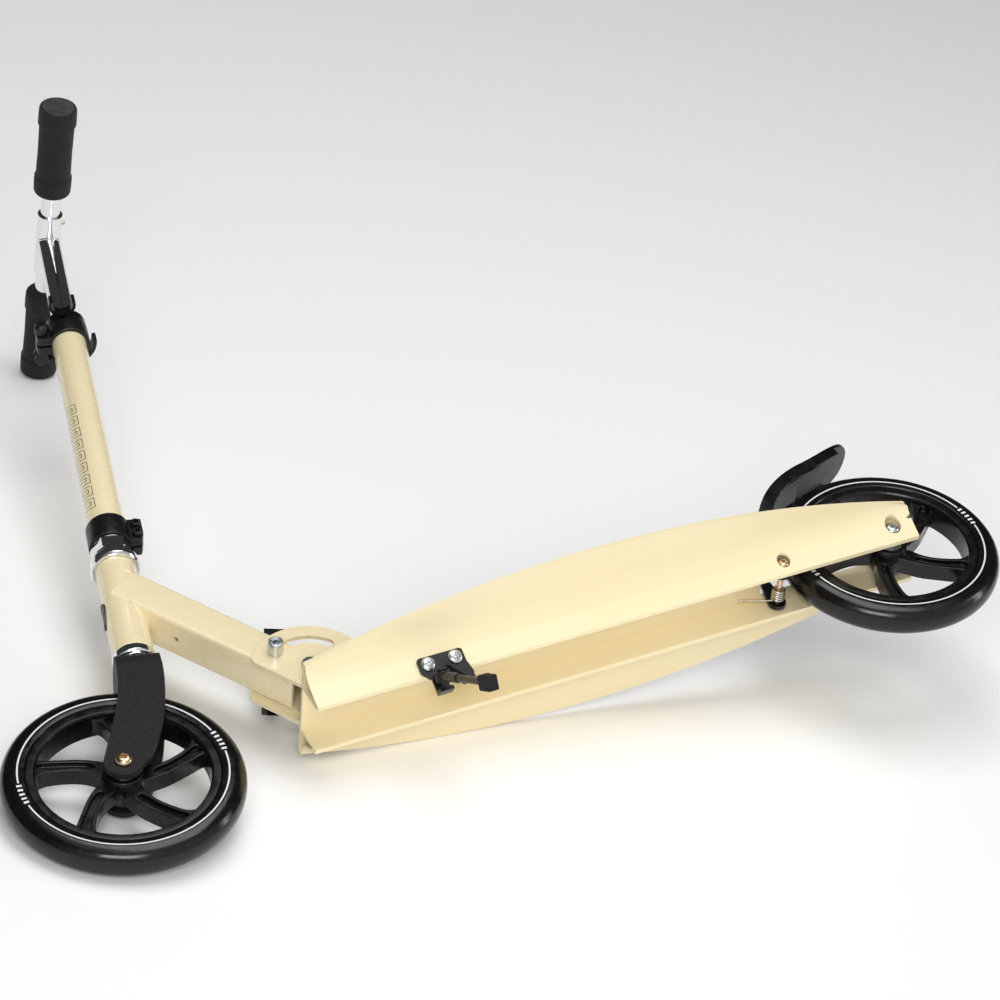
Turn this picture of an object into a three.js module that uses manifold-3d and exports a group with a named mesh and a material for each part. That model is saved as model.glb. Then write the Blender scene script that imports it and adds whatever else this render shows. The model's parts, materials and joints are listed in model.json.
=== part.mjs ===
// Folding kick scooter with 200 mm wheels, modelled in millimetres and laid on its right side.
// Inside the scooter group: +x runs forward, +y to the rider's left, +z up from the wheel axles.
import * as THREE from 'three';
import { mergeVertices } from 'three/addons/utils/BufferGeometryUtils.js';
import Module from 'manifold-3d';

const wasm = await Module();
wasm.setup();

// ---- overall sizes ----
const fit = 0.3; // clearance between neighbouring pieces
const wheelRadius = 100;
const wheelbase = 737.6;
const headAngle = THREE.MathUtils.degToRad(15.7); // steering axis leans back from upright
const forkOffset = 28.5; // front axle ahead of the steering axis
const deckPitch = THREE.MathUtils.degToRad(0.75); // deck rises towards the front
const barTwist = THREE.MathUtils.degToRad(4); // handlebar turned slightly in the steering tube
const barHeight = 763; // handlebar centre along the steering axis
const barHalfWidth = 155;

// ---- wheels ----
const tyreWidth = 28;
const tyreInner = 79;
const rimInner = 71;
const rimWidth = 25;
const bossRadius = 17;
const bossWidth = 26;
const bearingRadius = 11;
const bearingWidth = 7;
const axleRadius = 4;
const spokeCount = 5;
const spokeWidth = 13;
const spokeDepth = 16;

// ---- deck ----
const deckRear = -20;
const deckFront = 568;
const deckHalfWidth = 88;
const deckBulgeRadius = 1020;
const bladeBottom = -14.8;
const bladeInner = 22;
const bladeWall = 2.6;
const bladeOuter = 26;
const deckHeight = 32; // blade bottom to platform top
const webThickness = 3;
const wingThickness = 3.6;
const flareWall = 2.4;
const wheelSlotFront = 122;
const platformTop = bladeBottom + deckHeight;
const flareFoot = 7; // the flare's straight foot: out by this much
const flareFootRise = 13.5; // and up by this much
const flareSteps = 4;
const axleRecess = 7.6; // round rooms in the flare for the bolt heads
const rodRecess = 6.2;
const tapeInset = 7;
const tapeRear = 4;
const tapeFront = 486;

// ---- brake fender, about the rear axle ----
const fenderRodX = 115;
const fenderRodZ = -3.5;
const fenderRodRadius = 2.5;
const fenderInner = 115.5;
const fenderThickness = 3.5;
const fenderHalfWidth = 25;
const fenderNeckHalfWidth = 19;
const fenderFront = 16; // angles of the curved band, in degrees above level
const fenderBack = 76;
const fenderTailX = -38;
const fenderTailLift = 24;
const skirtDepth = 8;
const skirtThickness = 3;
const armOuter = 18.9;
const armThickness = 3.5;
const frictionPlateThickness = 2.3;
const frictionPlateHalfWidth = 13;

// ---- kickstand, from its plate's own corner on the flare ----
const screwRadius = 2;
const screwHeadRadius = 6.2;
const screwLength = 7;
const kickScrewGap = 25;
const kickX = 451.5;
const kickSlope = Math.atan2(flareFootRise, flareFoot);
const kickY = bladeOuter + 4.2;
const kickZ = bladeBottom + 8.1;
const kickPlate = 2.6;
const kickPivot = new THREE.Vector3(7.5, 15.5, 11);
const kickLegDown = new THREE.Vector3(-0.044, 0.462, 0.886).normalize();
const kickPinAxis = new THREE.Vector3(0, -kickLegDown.z, kickLegDown.y).normalize();
const kickPinRadius = 3;
const kickEyeRadius = 6.4;
const kickEyeHalf = 4.8;
const kickSleeveRadius = 4.3;
const kickSleeveEnd = 30;
const kickLegRadius = 3.2;
const kickLegLength = 84;
const kickFootHalfX = 5.3;
const kickFootHalfY = 6.6;
const kickFootHeight = 16;
const kickSpringRadius = 1.6;

// ---- fold joint ----
const pivotX = 549;
const pivotZ = 46;
const plateRadius = 50;
const plateThickness = 3.7;
const tubeHalfWidth = 18.5;
const tubeHalfDepth = 17.5;
const tubeWall = 2.5;
const tubeAngle = THREE.MathUtils.degToRad(59); // down tube above level
const slotRadius = 33;
const slotPinAngle = THREE.MathUtils.degToRad(52);
const slotSweep = THREE.MathUtils.degToRad(90);
const pinRadius = 4;
const plateInner = tubeHalfWidth + 0.4;
const plateOuter = plateInner + plateThickness;
const pivotRadius = 4;
const bracketRear = -44; // base of the bracket, from the pivot
const bracketFront = 16;
const bracketBase = 3;
const deckTopAtPivot = platformTop + pivotX * Math.tan(deckPitch) + fit;
const downTubeLength = 193;
const ventPlace = 124;
const ventRadius = 2.5;
const lockSleeveRadius = 6.3;
const lockSleeveLength = 13;
const foldLeverAngle = THREE.MathUtils.degToRad(116); // closed lever, above level
const foldLeverSwing = THREE.MathUtils.degToRad(110);
const foldCamY = -37; // the cam's axle, out to the right of the bracket
const foldCamRadius = 8.5;
const foldCamHalf = 9.5;
const foldHandleLength = 95;
const foldHandleHalf = 9.5;

// ---- steering column, measured along the steering axis from beside the front axle ----
const legInner = 18.8;
const legThickness = 5.2;
const legOuter = legInner + legThickness;
const crownBottom = wheelRadius + 3.5;
const crownTop = 136;
const steererRadius = 13.7;
const steererTop = 334;
const headTubeRadius = 18;
const headTubeWall = 2.2;
const headTubeBottom = 148;
const headTubeTop = 262;
const badgeMiddle = 203;
const badgeHalfWidth = 8;
const lowerCupRadius = 19;
const upperCupRadius = 22;
const upperCupHeight = 11.5;
const cupSpigot = 10;
const nutRadius = 19.2;
const washerRadius = 18.4;
const washerHeight = 4;
const columnRadius = 16;
const columnWall = 1.7;
const columnBottom = 293;
const columnTop = 608;
const stemRadius = 11.5;
const stemWall = 1.5;
const stemBottom = 346;
const sleeveHalfWidth = 33;
const sleeveRadius = 11.9;
const barRadius = 9.5;
const barWall = 1.6;
const gripInnerEnd = 58;
const gripRadius = 16.8;
const gripCollar = 1.3; // the grip's two end collars stand out by this much
const gripCollarLength = 18;
const buttonPlace = 22;
const buttonRadius = 2.25;

// ---- clamps on the steering tube ----
const lugHalfWidth = 9.5;
const lowerClampBottom = columnBottom + 0.5;
const lowerClampTop = 320;
const lowerClampRadius = 19.4;
const lowerLugReach = 29;
const clampBoltX = -23.5;
const clampBoltHeights = [300, 312];
const clampBoltRadius = 2.5;
const topClampBottom = 593;
const topClampTop = 611;
const topClampMiddle = (topClampBottom + topClampTop) / 2;
const topClampRadius = 19.6;
const topLugReach = 30;
const skewerX = 25;
const skewerRadius = 2.5;
const topLeverPivotY = -16.5;
const topLeverSwing = THREE.MathUtils.degToRad(110);
const topCamRadius = 6.8;
const topLeverHalf = 6.5;
const topLeverInner = 22.6;
const topLeverOuter = 26.2;
const clipBottom = 613.4;
const clipTop = 624;
const clipCentre = 31;
const clipOuter = 12.8;
const clipForward = 4;

// ---- materials ----
function makeMaterial(name, color, roughness, metalness) {
  const material = new THREE.MeshStandardMaterial({ color, roughness, metalness });
  material.name = name;
  return material;
}
const creamPaint = () => makeMaterial('cream_enamel', 0xf0dcab, 0.3, 0.1);
const creamDeckPaint = () => makeMaterial('cream_deck_enamel', 0xf0dcab, 0.4, 0.1);
const blackTexturedPaint = () => makeMaterial('black_textured_paint', 0x232323, 0.7, 0.2);
const blackSatinPaint = () => makeMaterial('black_satin_paint', 0x161616, 0.4, 0.2);
const chromePlate = () => makeMaterial('chrome_plate', 0xd8dadd, 0.1, 1.0);
const zincPlate = () => makeMaterial('zinc_plate', 0xaeb4b8, 0.3, 1.0);
const brassPlate = () => makeMaterial('brass_plate', 0xb49a6a, 0.3, 1.0);
const springSteel = () => makeMaterial('spring_steel', 0xc4c0b4, 0.3, 1.0);
const blackNylon = () => makeMaterial('black_nylon', 0x1b1b1b, 0.5, 0.0);
const tyrePolyurethane = () => makeMaterial('black_polyurethane', 0x101010, 0.25, 0.0);
const gripFoam = () => makeMaterial('black_foam', 0x1c1c1c, 0.95, 0.0);
const blackRubber = () => makeMaterial('black_rubber', 0x151515, 0.85, 0.0);
const gritTape = () => makeMaterial('black_grit_tape', 0x1a1a1a, 0.95, 0.0);

// ---- solid helpers ----
function solidOf(geometry) {
  const plain = geometry.clone();
  plain.deleteAttribute('normal');
  plain.deleteAttribute('uv');
  const merged = mergeVertices(plain, 1e-4);
  return new wasm.Manifold(
    new wasm.Mesh({
      numProp: 3,
      vertProperties: new Float32Array(merged.attributes.position.array),
      triVerts: new Uint32Array(merged.index.array),
    }),
  );
}

function geometryOf(solid) {
  const mesh = solid.getMesh();
  const geometry = new THREE.BufferGeometry();
  const positions = new Float32Array((mesh.vertProperties.length / mesh.numProp) * 3);
  for (let i = 0; i < positions.length / 3; i += 1) {
    positions[3 * i] = mesh.vertProperties[mesh.numProp * i];
    positions[3 * i + 1] = mesh.vertProperties[mesh.numProp * i + 1];
    positions[3 * i + 2] = mesh.vertProperties[mesh.numProp * i + 2];
  }
  geometry.setAttribute('position', new THREE.BufferAttribute(positions, 3));
  geometry.setIndex(new THREE.BufferAttribute(new Uint32Array(mesh.triVerts), 1));
  return geometry;
}

function union(...solids) {
  return solids.reduce((sum, next) => sum.add(next));
}

function cut(solid, ...tools) {
  return tools.reduce((rest, tool) => rest.subtract(tool), solid);
}

// A disc or ring about z: profile points are [radius, height].
function turned(profile, segments = 16) {
  const points = profile.map(([r, z]) => new THREE.Vector2(r, z));
  const geometry = new THREE.LatheGeometry(points, segments);
  geometry.rotateX(Math.PI / 2);
  return solidOf(geometry);
}

function rod(radius, from, to, segments = 12) {
  return turned([[0, from], [radius, from], [radius, to], [0, to]], segments);
}

function ring(inner, outer, from, to, segments = 16) {
  return turned([[inner, from], [outer, from], [outer, to], [inner, to], [inner, from]], segments);
}

function moved(solid, x, y, z) {
  const matrix = new THREE.Matrix4().makeTranslation(x, y, z);
  return solid.transform(matrix.elements);
}

function turnedTo(solid, x, y, z) {
  const matrix = new THREE.Matrix4().makeRotationFromEuler(new THREE.Euler(x, y, z));
  return solid.transform(matrix.elements);
}

// Turns a solid built about z so that it runs along +y.
function alongY(solid) {
  return turnedTo(solid, -Math.PI / 2, 0, 0);
}

function block(x0, x1, y0, y1, z0, z1) {
  const geometry = new THREE.BoxGeometry(x1 - x0, y1 - y0, z1 - z0);
  geometry.translate((x0 + x1) / 2, (y0 + y1) / 2, (z0 + z1) / 2);
  return solidOf(geometry);
}

// A flat outline in the x-z plane, given thickness between two y values.
function sidePlate(shape, y0, y1, curveSegments = 10) {
  const geometry = new THREE.ExtrudeGeometry(shape, {
    depth: y1 - y0,
    bevelEnabled: false,
    curveSegments,
  });
  geometry.rotateX(Math.PI / 2);
  geometry.translate(0, y1, 0);
  return solidOf(geometry);
}

// A flat outline in the x-y plane, given thickness between two z values.
function planPlate(shape, z0, z1, curveSegments = 10) {
  const geometry = new THREE.ExtrudeGeometry(shape, {
    depth: z1 - z0,
    bevelEnabled: false,
    curveSegments,
  });
  geometry.translate(0, 0, z0);
  return solidOf(geometry);
}

// An outline in the y-z plane, run between two x values.
function crossPlate(shape, x0, x1, curveSegments = 10) {
  const geometry = new THREE.ExtrudeGeometry(shape, {
    depth: x1 - x0,
    bevelEnabled: false,
    curveSegments,
  });
  geometry.rotateX(Math.PI / 2);
  geometry.rotateZ(Math.PI / 2);
  geometry.translate(x0, 0, 0);
  return solidOf(geometry);
}

function outline(points) {
  return new THREE.Shape(points.map(([x, y]) => new THREE.Vector2(x, y)));
}

function hexagon(radius, from, to) {
  return turned([[0, from], [radius, from], [radius, to], [0, to]], 6);
}

function addPiece(parent, name, solid, material) {
  const mesh = new THREE.Mesh(geometryOf(solid), material);
  mesh.name = name;
  parent.add(mesh);
  return mesh;
}

function makeGroup(parent, name) {
  const group = new THREE.Group();
  group.name = name;
  parent.add(group);
  return group;
}

// ---- wheels ----
function tyreSolid() {
  const half = tyreWidth / 2;
  const side = [[tyreInner, half - 1.4], [88, half], [94.5, half - 2.4], [98.8, half - 8]];
  const other = side.map(([r, y]) => [r, -y]).reverse();
  const profile = [...side, [wheelRadius, 0], ...other, side[0]];
  return alongY(turned(profile.reverse(), 40));
}

// Curved spokes lean back from hub to rim; angles are measured from the rear, upwards.
function spokeSolid(turn) {
  const centre = (radius, lean) => {
    const angle = turn + THREE.MathUtils.degToRad(lean);
    return new THREE.Vector2(-radius * Math.cos(angle), radius * Math.sin(angle));
  };
  const middle = new THREE.SplineCurve([
    centre(bossRadius - 4, -17),
    centre(34, -8),
    centre(55, 0.5),
    centre(rimInner + 2, 6),
  ]);
  const steps = 5;
  const left = [];
  const right = [];
  for (let i = 0; i <= steps; i += 1) {
    const share = i / steps;
    const point = middle.getPoint(share);
    const tangent = middle.getTangent(share);
    const flare = 5 * (2 * share - 1) ** 2;
    const half = (spokeWidth + flare) / 2;
    left.push([point.x - tangent.y * half, point.y + tangent.x * half]);
    right.unshift([point.x + tangent.y * half, point.y - tangent.x * half]);
  }
  return sidePlate(outline([...left, ...right]), -spokeDepth / 2, spokeDepth / 2);
}

function hubSolid(startAngle) {
  const rim = alongY(ring(rimInner, tyreInner - fit, -rimWidth / 2, rimWidth / 2, 40));
  const boss = alongY(rod(bossRadius, -bossWidth / 2, bossWidth / 2, 20));
  const spokes = [];
  for (let i = 0; i < spokeCount; i += 1) {
    spokes.push(spokeSolid(startAngle + (2 * Math.PI * i) / spokeCount));
  }
  const seat = bearingRadius + fit;
  const seatDepth = bearingWidth + fit;
  const bore = alongY(rod(bearingRadius - 2, -bossWidth, bossWidth, 12));
  const leftSeat = alongY(rod(seat, bossWidth / 2 - seatDepth, bossWidth, 16));
  const rightSeat = alongY(rod(seat, -bossWidth, seatDepth - bossWidth / 2, 16));
  return cut(union(rim, boss, ...spokes), bore, leftSeat, rightSeat);
}

function bearingSolid() {
  return alongY(ring(axleRadius + fit, bearingRadius, -bearingWidth / 2, bearingWidth / 2, 16));
}

function addWheel(parent, label, startAngle) {
  addPiece(parent, `${label}_tyre`, tyreSolid(), tyrePolyurethane());
  addPiece(parent, `${label}_hub`, hubSolid(startAngle), blackNylon());
  const offset = (bossWidth - bearingWidth) / 2;
  const left = addPiece(parent, `${label}_bearing_left`, bearingSolid(), zincPlate());
  left.position.y = offset;
  const right = addPiece(parent, `${label}_bearing_right`, bearingSolid(), zincPlate());
  right.position.y = -offset;
}

function spacerSolid(length) {
  return alongY(ring(axleRadius + fit, 6.5, 0, length, 12));
}

// Button-head bolt along y: head on the left, end on the right.
function buttonBolt(shankRadius, headRadius, headHeight, headFace, shankEnd) {
  const profile = [
    [0, shankEnd],
    [shankRadius, shankEnd],
    [shankRadius, headFace],
    [headRadius, headFace],
    [headRadius, headFace + headHeight * 0.45],
    [headRadius * 0.72, headFace + headHeight * 0.88],
    [headRadius * 0.42, headFace + headHeight],
    [0, headFace + headHeight],
  ];
  const socket = hexagon(headRadius * 0.36, headFace + headHeight * 0.35, headFace + headHeight * 2);
  return alongY(cut(turned(profile, 14), socket));
}

function hexNut(boltRadius, radius, from, to) {
  return alongY(cut(hexagon(radius, from, to), rod(boltRadius + fit, from - 1, to + 1, 12)));
}

// ---- deck ----

function flarePoints() {
  const points = [[bladeOuter, 0]];
  const bend = new THREE.QuadraticBezierCurve(
    new THREE.Vector2(bladeOuter + flareFoot, flareFootRise),
    new THREE.Vector2(bladeOuter + 12.5, 26.5),
    new THREE.Vector2(bladeOuter + 28, deckHeight - wingThickness - 0.6),
  );
  for (let i = 0; i <= flareSteps; i += 1) {
    const point = bend.getPoint(i / flareSteps);
    points.push([point.x, point.y]);
  }
  points.push([deckHalfWidth + 1, deckHeight - wingThickness]);
  return points;
}

function deckOutline(side) {
  const points = [
    [0, deckHeight],
    [0, deckHeight - webThickness],
    [bladeInner, deckHeight - webThickness],
    [bladeInner, 0],
    ...flarePoints(),
    [deckHalfWidth + 1, deckHeight],
  ];
  return outline(points.map(([y, z]) => [side * y, z + bladeBottom]));
}

// The hollow between the blade's inner wall, the flare and the platform.
function deckCellOutline(side) {
  const under = flarePoints();
  const wall = bladeInner + bladeWall;
  const ceiling = deckHeight - webThickness;
  const points = [[wall, ceiling], [wall, 5]];
  for (let i = 1; i < flareSteps; i += 1) {
    const [y0, z0] = under[i];
    const [y1, z1] = under[i + 1];
    const length = Math.hypot(y1 - y0, z1 - z0);
    points.push([y0 - ((z1 - z0) / length) * flareWall, z0 + ((y1 - y0) / length) * flareWall]);
  }
  points.push([bladeOuter + 18, ceiling]);
  return outline(points.map(([y, z]) => [side * y, z + bladeBottom]));
}

function deckHalfWidthAt(x) {
  const middle = 288;
  return deckHalfWidth - (x - middle) ** 2 / (2 * deckBulgeRadius);
}

function deckPlan(inset, rear, front, steps) {
  const left = [];
  const right = [];
  for (let i = 0; i <= steps; i += 1) {
    const x = rear + ((front - rear) * i) / steps;
    const half = deckHalfWidthAt(x) - inset;
    left.push([x, -half]);
    right.unshift([x, half]);
  }
  return outline([...left, ...right]);
}

// Room in the flare for a bolt head or a nut seated on the blade's inner wall.
function headHole(radius, side) {
  const seat = bladeInner + bladeWall + 0.4;
  return alongY(side > 0 ? rod(radius, seat, 60, 14) : rod(radius, -60, -seat, 14));
}

function deckSolid() {
  const run = [deckRear - 5, deckFront + 5];
  const halves = [1, -1].map((side) =>
    cut(crossPlate(deckOutline(side), ...run), crossPlate(deckCellOutline(side), ...run)),
  );
  const profile = union(...halves);
  const plan = planPlate(deckPlan(0, deckRear, deckFront, 14), bladeBottom - 5, platformTop + 5);
  const wheelSlot = block(deckRear - 9, wheelSlotFront, -bladeInner, bladeInner, 0, 60);
  const past = deckHalfWidth + 9;
  const holes = [alongY(rod(axleRadius + fit, -past, past))];
  holes.push(moved(alongY(rod(fenderRodRadius + fit, -past, past)), fenderRodX, 0, fenderRodZ));
  for (const side of [-1, 1]) {
    holes.push(headHole(axleRecess, side));
    holes.push(moved(headHole(rodRecess, side), fenderRodX, 0, fenderRodZ));
    const notch = side > 0 ? [30, 41] : [-41, -30];
    holes.push(block(deckRear - 2, deckRear + 4, ...notch, 1.5, 4.5));
  }
  for (const side of [-1, 1]) {
    const x = kickX + (side * kickScrewGap) / 2;
    holes.push(moved(turnedTo(rod(screwRadius + fit, -9, 9), kickSlope - Math.PI, 0, 0), x, kickY, kickZ));
  }
  return cut(profile.intersect(plan), wheelSlot, ...holes);
}

function gripTapeSolid() {
  const shape = deckPlan(tapeInset, tapeRear, tapeFront, 12);
  const tape = planPlate(shape, platformTop + 0.1, platformTop + 1);
  const slot = block(-50, wheelSlotFront + 8, -bladeInner - 4, bladeInner + 4, 0, 60);
  return cut(tape, slot);
}

// ---- fold bracket, built about the fold pivot: x forward, z up ----
function slottedPlateShape(baseDrop) {
  const frontEdge = tubeHalfDepth + 7;
  const along = new THREE.Vector2(Math.cos(tubeAngle), Math.sin(tubeAngle));
  const across = new THREE.Vector2(along.y, -along.x);
  const reach = Math.sqrt(plateRadius ** 2 - frontEdge ** 2);
  const top = across.clone().multiplyScalar(frontEdge).addScaledVector(along, reach - 4);
  const startAngle = Math.atan2(top.y, top.x) + 0.1;
  const endAngle = Math.PI + Math.asin(baseDrop / plateRadius);
  const footAlong = (-baseDrop - across.y * frontEdge) / along.y;
  const foot = across.clone().multiplyScalar(frontEdge).addScaledVector(along, footAlong);
  const shape = new THREE.Shape();
  shape.moveTo(foot.x, foot.y);
  shape.lineTo(top.x, top.y);
  shape.absarc(0, 0, plateRadius, startAngle, endAngle, false);
  shape.lineTo(foot.x, foot.y);
  const slot = new THREE.Path();
  const half = pinRadius + 0.6;
  const first = slotPinAngle - 0.02;
  const last = slotPinAngle + slotSweep;
  const endCentre = (angle) => [slotRadius * Math.cos(angle), slotRadius * Math.sin(angle)];
  slot.absarc(0, 0, slotRadius + half, first, last, false);
  slot.absarc(...endCentre(last), half, last, last + Math.PI, false);
  slot.absarc(0, 0, slotRadius - half, last, first, true);
  slot.absarc(...endCentre(first), half, first + Math.PI, first + 2 * Math.PI, false);
  shape.holes.push(slot);
  return shape;
}

function foldBracketSolid() {
  const drop = pivotZ - deckTopAtPivot;
  const shape = slottedPlateShape(drop);
  const left = sidePlate(shape, plateInner, plateOuter, 7);
  const right = sidePlate(shape, -plateOuter, -plateInner, 7);
  const base = block(bracketRear, bracketFront, -plateOuter, plateOuter, -drop, bracketBase - drop);
  const bore = alongY(rod(pivotRadius + fit, -40, 40));
  const under = turnedTo(block(-90, 90, -60, 60, -drop - 20, -drop), 0, -deckPitch, 0);
  return cut(union(left, right, base), bore, under);
}

// ---- kickstand, built flat on the flare: local x along the deck, y down the flare, z outwards ----

// Carries a solid built about z onto a line through a point.
function alongLine(solid, point, direction) {
  const turn = new THREE.Quaternion().setFromUnitVectors(new THREE.Vector3(0, 0, 1), direction);
  const matrix = new THREE.Matrix4().compose(point, turn, new THREE.Vector3(1, 1, 1));
  return solid.transform(matrix.elements);
}

function kickBracketSolid() {
  const shape = outline([
    [-19, -7],
    [19, -7],
    [21, -5],
    [21, 5],
    [15, 13],
    [-2, 13],
    [-12, 25],
    [-22, 23],
    [-24, 16],
    [-21, 5],
    [-21, -5],
  ]);
  const plate = planPlate(shape, fit, kickPlate + fit);
  const tab = block(-21, -15, 21.5, 24, fit, 9);
  const lug = block(1, 14, 5, 28, fit, kickPlate + fit);
  const ear = block(1, 14, 24.6, 28, fit, 9.5);
  const pinHead = kickEyeHalf + 0.6;
  const pin = alongLine(rod(kickPinRadius, -12.4, pinHead + 2), kickPivot, kickPinAxis);
  const head = alongLine(rod(kickPinRadius + 1.6, pinHead, pinHead + 2), kickPivot, kickPinAxis);
  const holes = [-1, 1].map((side) => moved(rod(screwRadius + fit, -1, 9), (side * kickScrewGap) / 2, 0, 0));
  const floor = block(-60, 60, -60, 60, -40, fit);
  return cut(union(plate, tab, lug, ear, pin, head), ...holes, floor);
}

function kickLegSolid() {
  const eye = alongLine(rod(kickEyeRadius, -kickEyeHalf, kickEyeHalf, 20), kickPivot, kickPinAxis);
  const sleeve = alongLine(rod(kickSleeveRadius, 2, kickSleeveEnd, 16), kickPivot, kickLegDown);
  const leg = alongLine(rod(kickLegRadius, 20, kickLegLength, 16), kickPivot, kickLegDown);
  const bore = alongLine(rod(kickPinRadius + fit, -20, 20, 16), kickPivot, kickPinAxis);
  return cut(union(eye, sleeve, leg), bore);
}

function kickFootSolid() {
  const top = kickLegLength - 9;
  const foot = block(-kickFootHalfX, kickFootHalfX, -kickFootHalfY, kickFootHalfY, top, top + kickFootHeight);
  const socket = rod(kickLegRadius + fit, top - 3, kickLegLength + fit, 16);
  return alongLine(cut(foot, socket), kickPivot, kickLegDown);
}

function kickSpringSolid() {
  const start = new THREE.Vector3(-1.5, 4.5, 4.8);
  const end = new THREE.Vector3(-15.5, 20.5, 4.8);
  const length = start.distanceTo(end);
  return alongLine(rod(kickSpringRadius, 0, length), start, end.sub(start).normalize());
}

function screwSolid(headRadius, length) {
  const profile = [
    [0, -length],
    [screwRadius, -length],
    [screwRadius, 0],
    [headRadius, 0],
    [headRadius * 0.9, 1.6],
    [headRadius * 0.5, 2.8],
    [0, 3.1],
  ];
  const slotLength = headRadius * 0.5;
  const first = block(-slotLength, slotLength, -0.7, 0.7, 1.4, 5);
  const second = block(-0.7, 0.7, -slotLength, slotLength, 1.4, 5);
  return cut(turned(profile, 16), first, second);
}

// ---- brake fender, built about the rear axle ----

function fenderBandShape(inner, outer, bandStart, bandEnd) {
  const shape = new THREE.Shape();
  const start = THREE.MathUtils.degToRad(bandStart);
  const end = THREE.MathUtils.degToRad(bandEnd);
  shape.absarc(0, 0, outer, start, end, false);
  const outerEnd = new THREE.Vector2(outer * Math.cos(end), outer * Math.sin(end));
  const innerEnd = new THREE.Vector2(inner * Math.cos(end), inner * Math.sin(end));
  shape.quadraticCurveTo(outerEnd.x - 30, outerEnd.y + 6, fenderTailX, outerEnd.y + fenderTailLift);
  shape.lineTo(fenderTailX - 1, innerEnd.y + fenderTailLift);
  shape.quadraticCurveTo(innerEnd.x - 30, innerEnd.y + 6, innerEnd.x, innerEnd.y);
  shape.absarc(0, 0, inner, end, start, true);
  return shape;
}

function fenderSolid() {
  const outer = fenderInner + fenderThickness;
  const band = fenderBandShape(fenderInner, outer, fenderFront, fenderBack);
  const top = sidePlate(band, -fenderHalfWidth, fenderHalfWidth, 7);
  const skirtShape = fenderBandShape(fenderInner - skirtDepth, outer - 0.5, fenderFront + 8, fenderBack);
  const skirts = [
    sidePlate(skirtShape, fenderHalfWidth - skirtThickness, fenderHalfWidth, 7),
    sidePlate(skirtShape, -fenderHalfWidth, skirtThickness - fenderHalfWidth, 7),
  ];
  const wide = fenderHalfWidth + 0.5;
  const neck = fenderNeckHalfWidth;
  const plan = new THREE.Shape();
  plan.moveTo(130, -neck);
  plan.lineTo(112, -neck);
  plan.quadraticCurveTo(100, -wide + 0.5, 60, -wide);
  plan.lineTo(0, -wide);
  plan.quadraticCurveTo(fenderTailX + 2, 1.5 - wide, fenderTailX - 0.5, -8);
  plan.lineTo(fenderTailX - 0.5, 8);
  plan.quadraticCurveTo(fenderTailX + 2, wide - 1.5, 0, wide);
  plan.lineTo(60, wide);
  plan.quadraticCurveTo(100, wide - 0.5, 112, neck);
  plan.lineTo(130, neck);
  plan.lineTo(130, -neck);
  const shell = union(top, ...skirts).intersect(planPlate(plan, 0, 180, 3));
  const arm = new THREE.Shape();
  arm.absarc(fenderRodX, fenderRodZ, 8, -Math.PI, 0.15, false);
  const armTop = 0.36;
  arm.lineTo(outer * Math.cos(armTop), outer * Math.sin(armTop));
  arm.lineTo(fenderInner * Math.cos(armTop), fenderInner * Math.sin(armTop));
  arm.lineTo(fenderRodX - 8, fenderRodZ);
  const armInner = armOuter - armThickness;
  const arms = [sidePlate(arm, armInner, armOuter, 6), sidePlate(arm, -armOuter, -armInner, 6)];
  const eye = moved(alongY(rod(fenderRodRadius + fit, -60, 60)), fenderRodX, 0, fenderRodZ);
  return cut(union(shell, ...arms), eye);
}

function brakePlateSolid() {
  const shape = new THREE.Shape();
  const start = THREE.MathUtils.degToRad(fenderBack - 20);
  const end = THREE.MathUtils.degToRad(fenderBack - 1);
  shape.absarc(0, 0, fenderInner - fit, start, end, false);
  shape.absarc(0, 0, fenderInner - fit - frictionPlateThickness, end, start, true);
  return sidePlate(shape, -frictionPlateHalfWidth, frictionPlateHalfWidth, 6);
}

class SpringCurve extends THREE.Curve {
  getPoint(share, target = new THREE.Vector3()) {
    const legShare = 0.18;
    const coilRadius = 5.2;
    const length = 12;
    const turns = 5;
    if (share < legShare) {
      const out = 1 - share / legShare;
      return target.set(coilRadius + 28 * out, 0, 12 * out);
    }
    const angle = ((share - legShare) / (1 - legShare)) * turns * 2 * Math.PI;
    const rise = (angle / (turns * 2 * Math.PI)) * length;
    return target.set(coilRadius * Math.cos(angle), rise, coilRadius * Math.sin(angle));
  }
}

function springSolid() {
  const circle = new THREE.Shape();
  circle.absarc(0, 0, 0.85, 0, 2 * Math.PI, false);
  const geometry = new THREE.ExtrudeGeometry(circle, {
    steps: 46,
    bevelEnabled: false,
    extrudePath: new SpringCurve(),
    curveSegments: 3,
  });
  return solidOf(geometry);
}

// ---- front frame ----
// Where the steering axis passes the front axle, in the scooter group.
function steeringBase() {
  return {
    x: wheelbase - forkOffset * Math.cos(headAngle),
    z: -forkOffset * Math.sin(headAngle),
  };
}

// Turns a solid built about z to stand along the steering axis, in the scooter group.
function alongSteering(solid) {
  const base = steeringBase();
  return moved(turnedTo(solid, 0, -headAngle, 0), base.x, 0, base.z);
}

// Turns a solid built along x to run up the down tube from the fold pivot.
function alongDownTube(solid) {
  return moved(turnedTo(solid, 0, -tubeAngle, 0), pivotX, 0, pivotZ);
}

// The locking pin's place at the front end of the bracket's slot.
function pinPlace() {
  return [
    pivotX + slotRadius * Math.cos(slotPinAngle),
    0,
    pivotZ + slotRadius * Math.sin(slotPinAngle),
  ];
}

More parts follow.
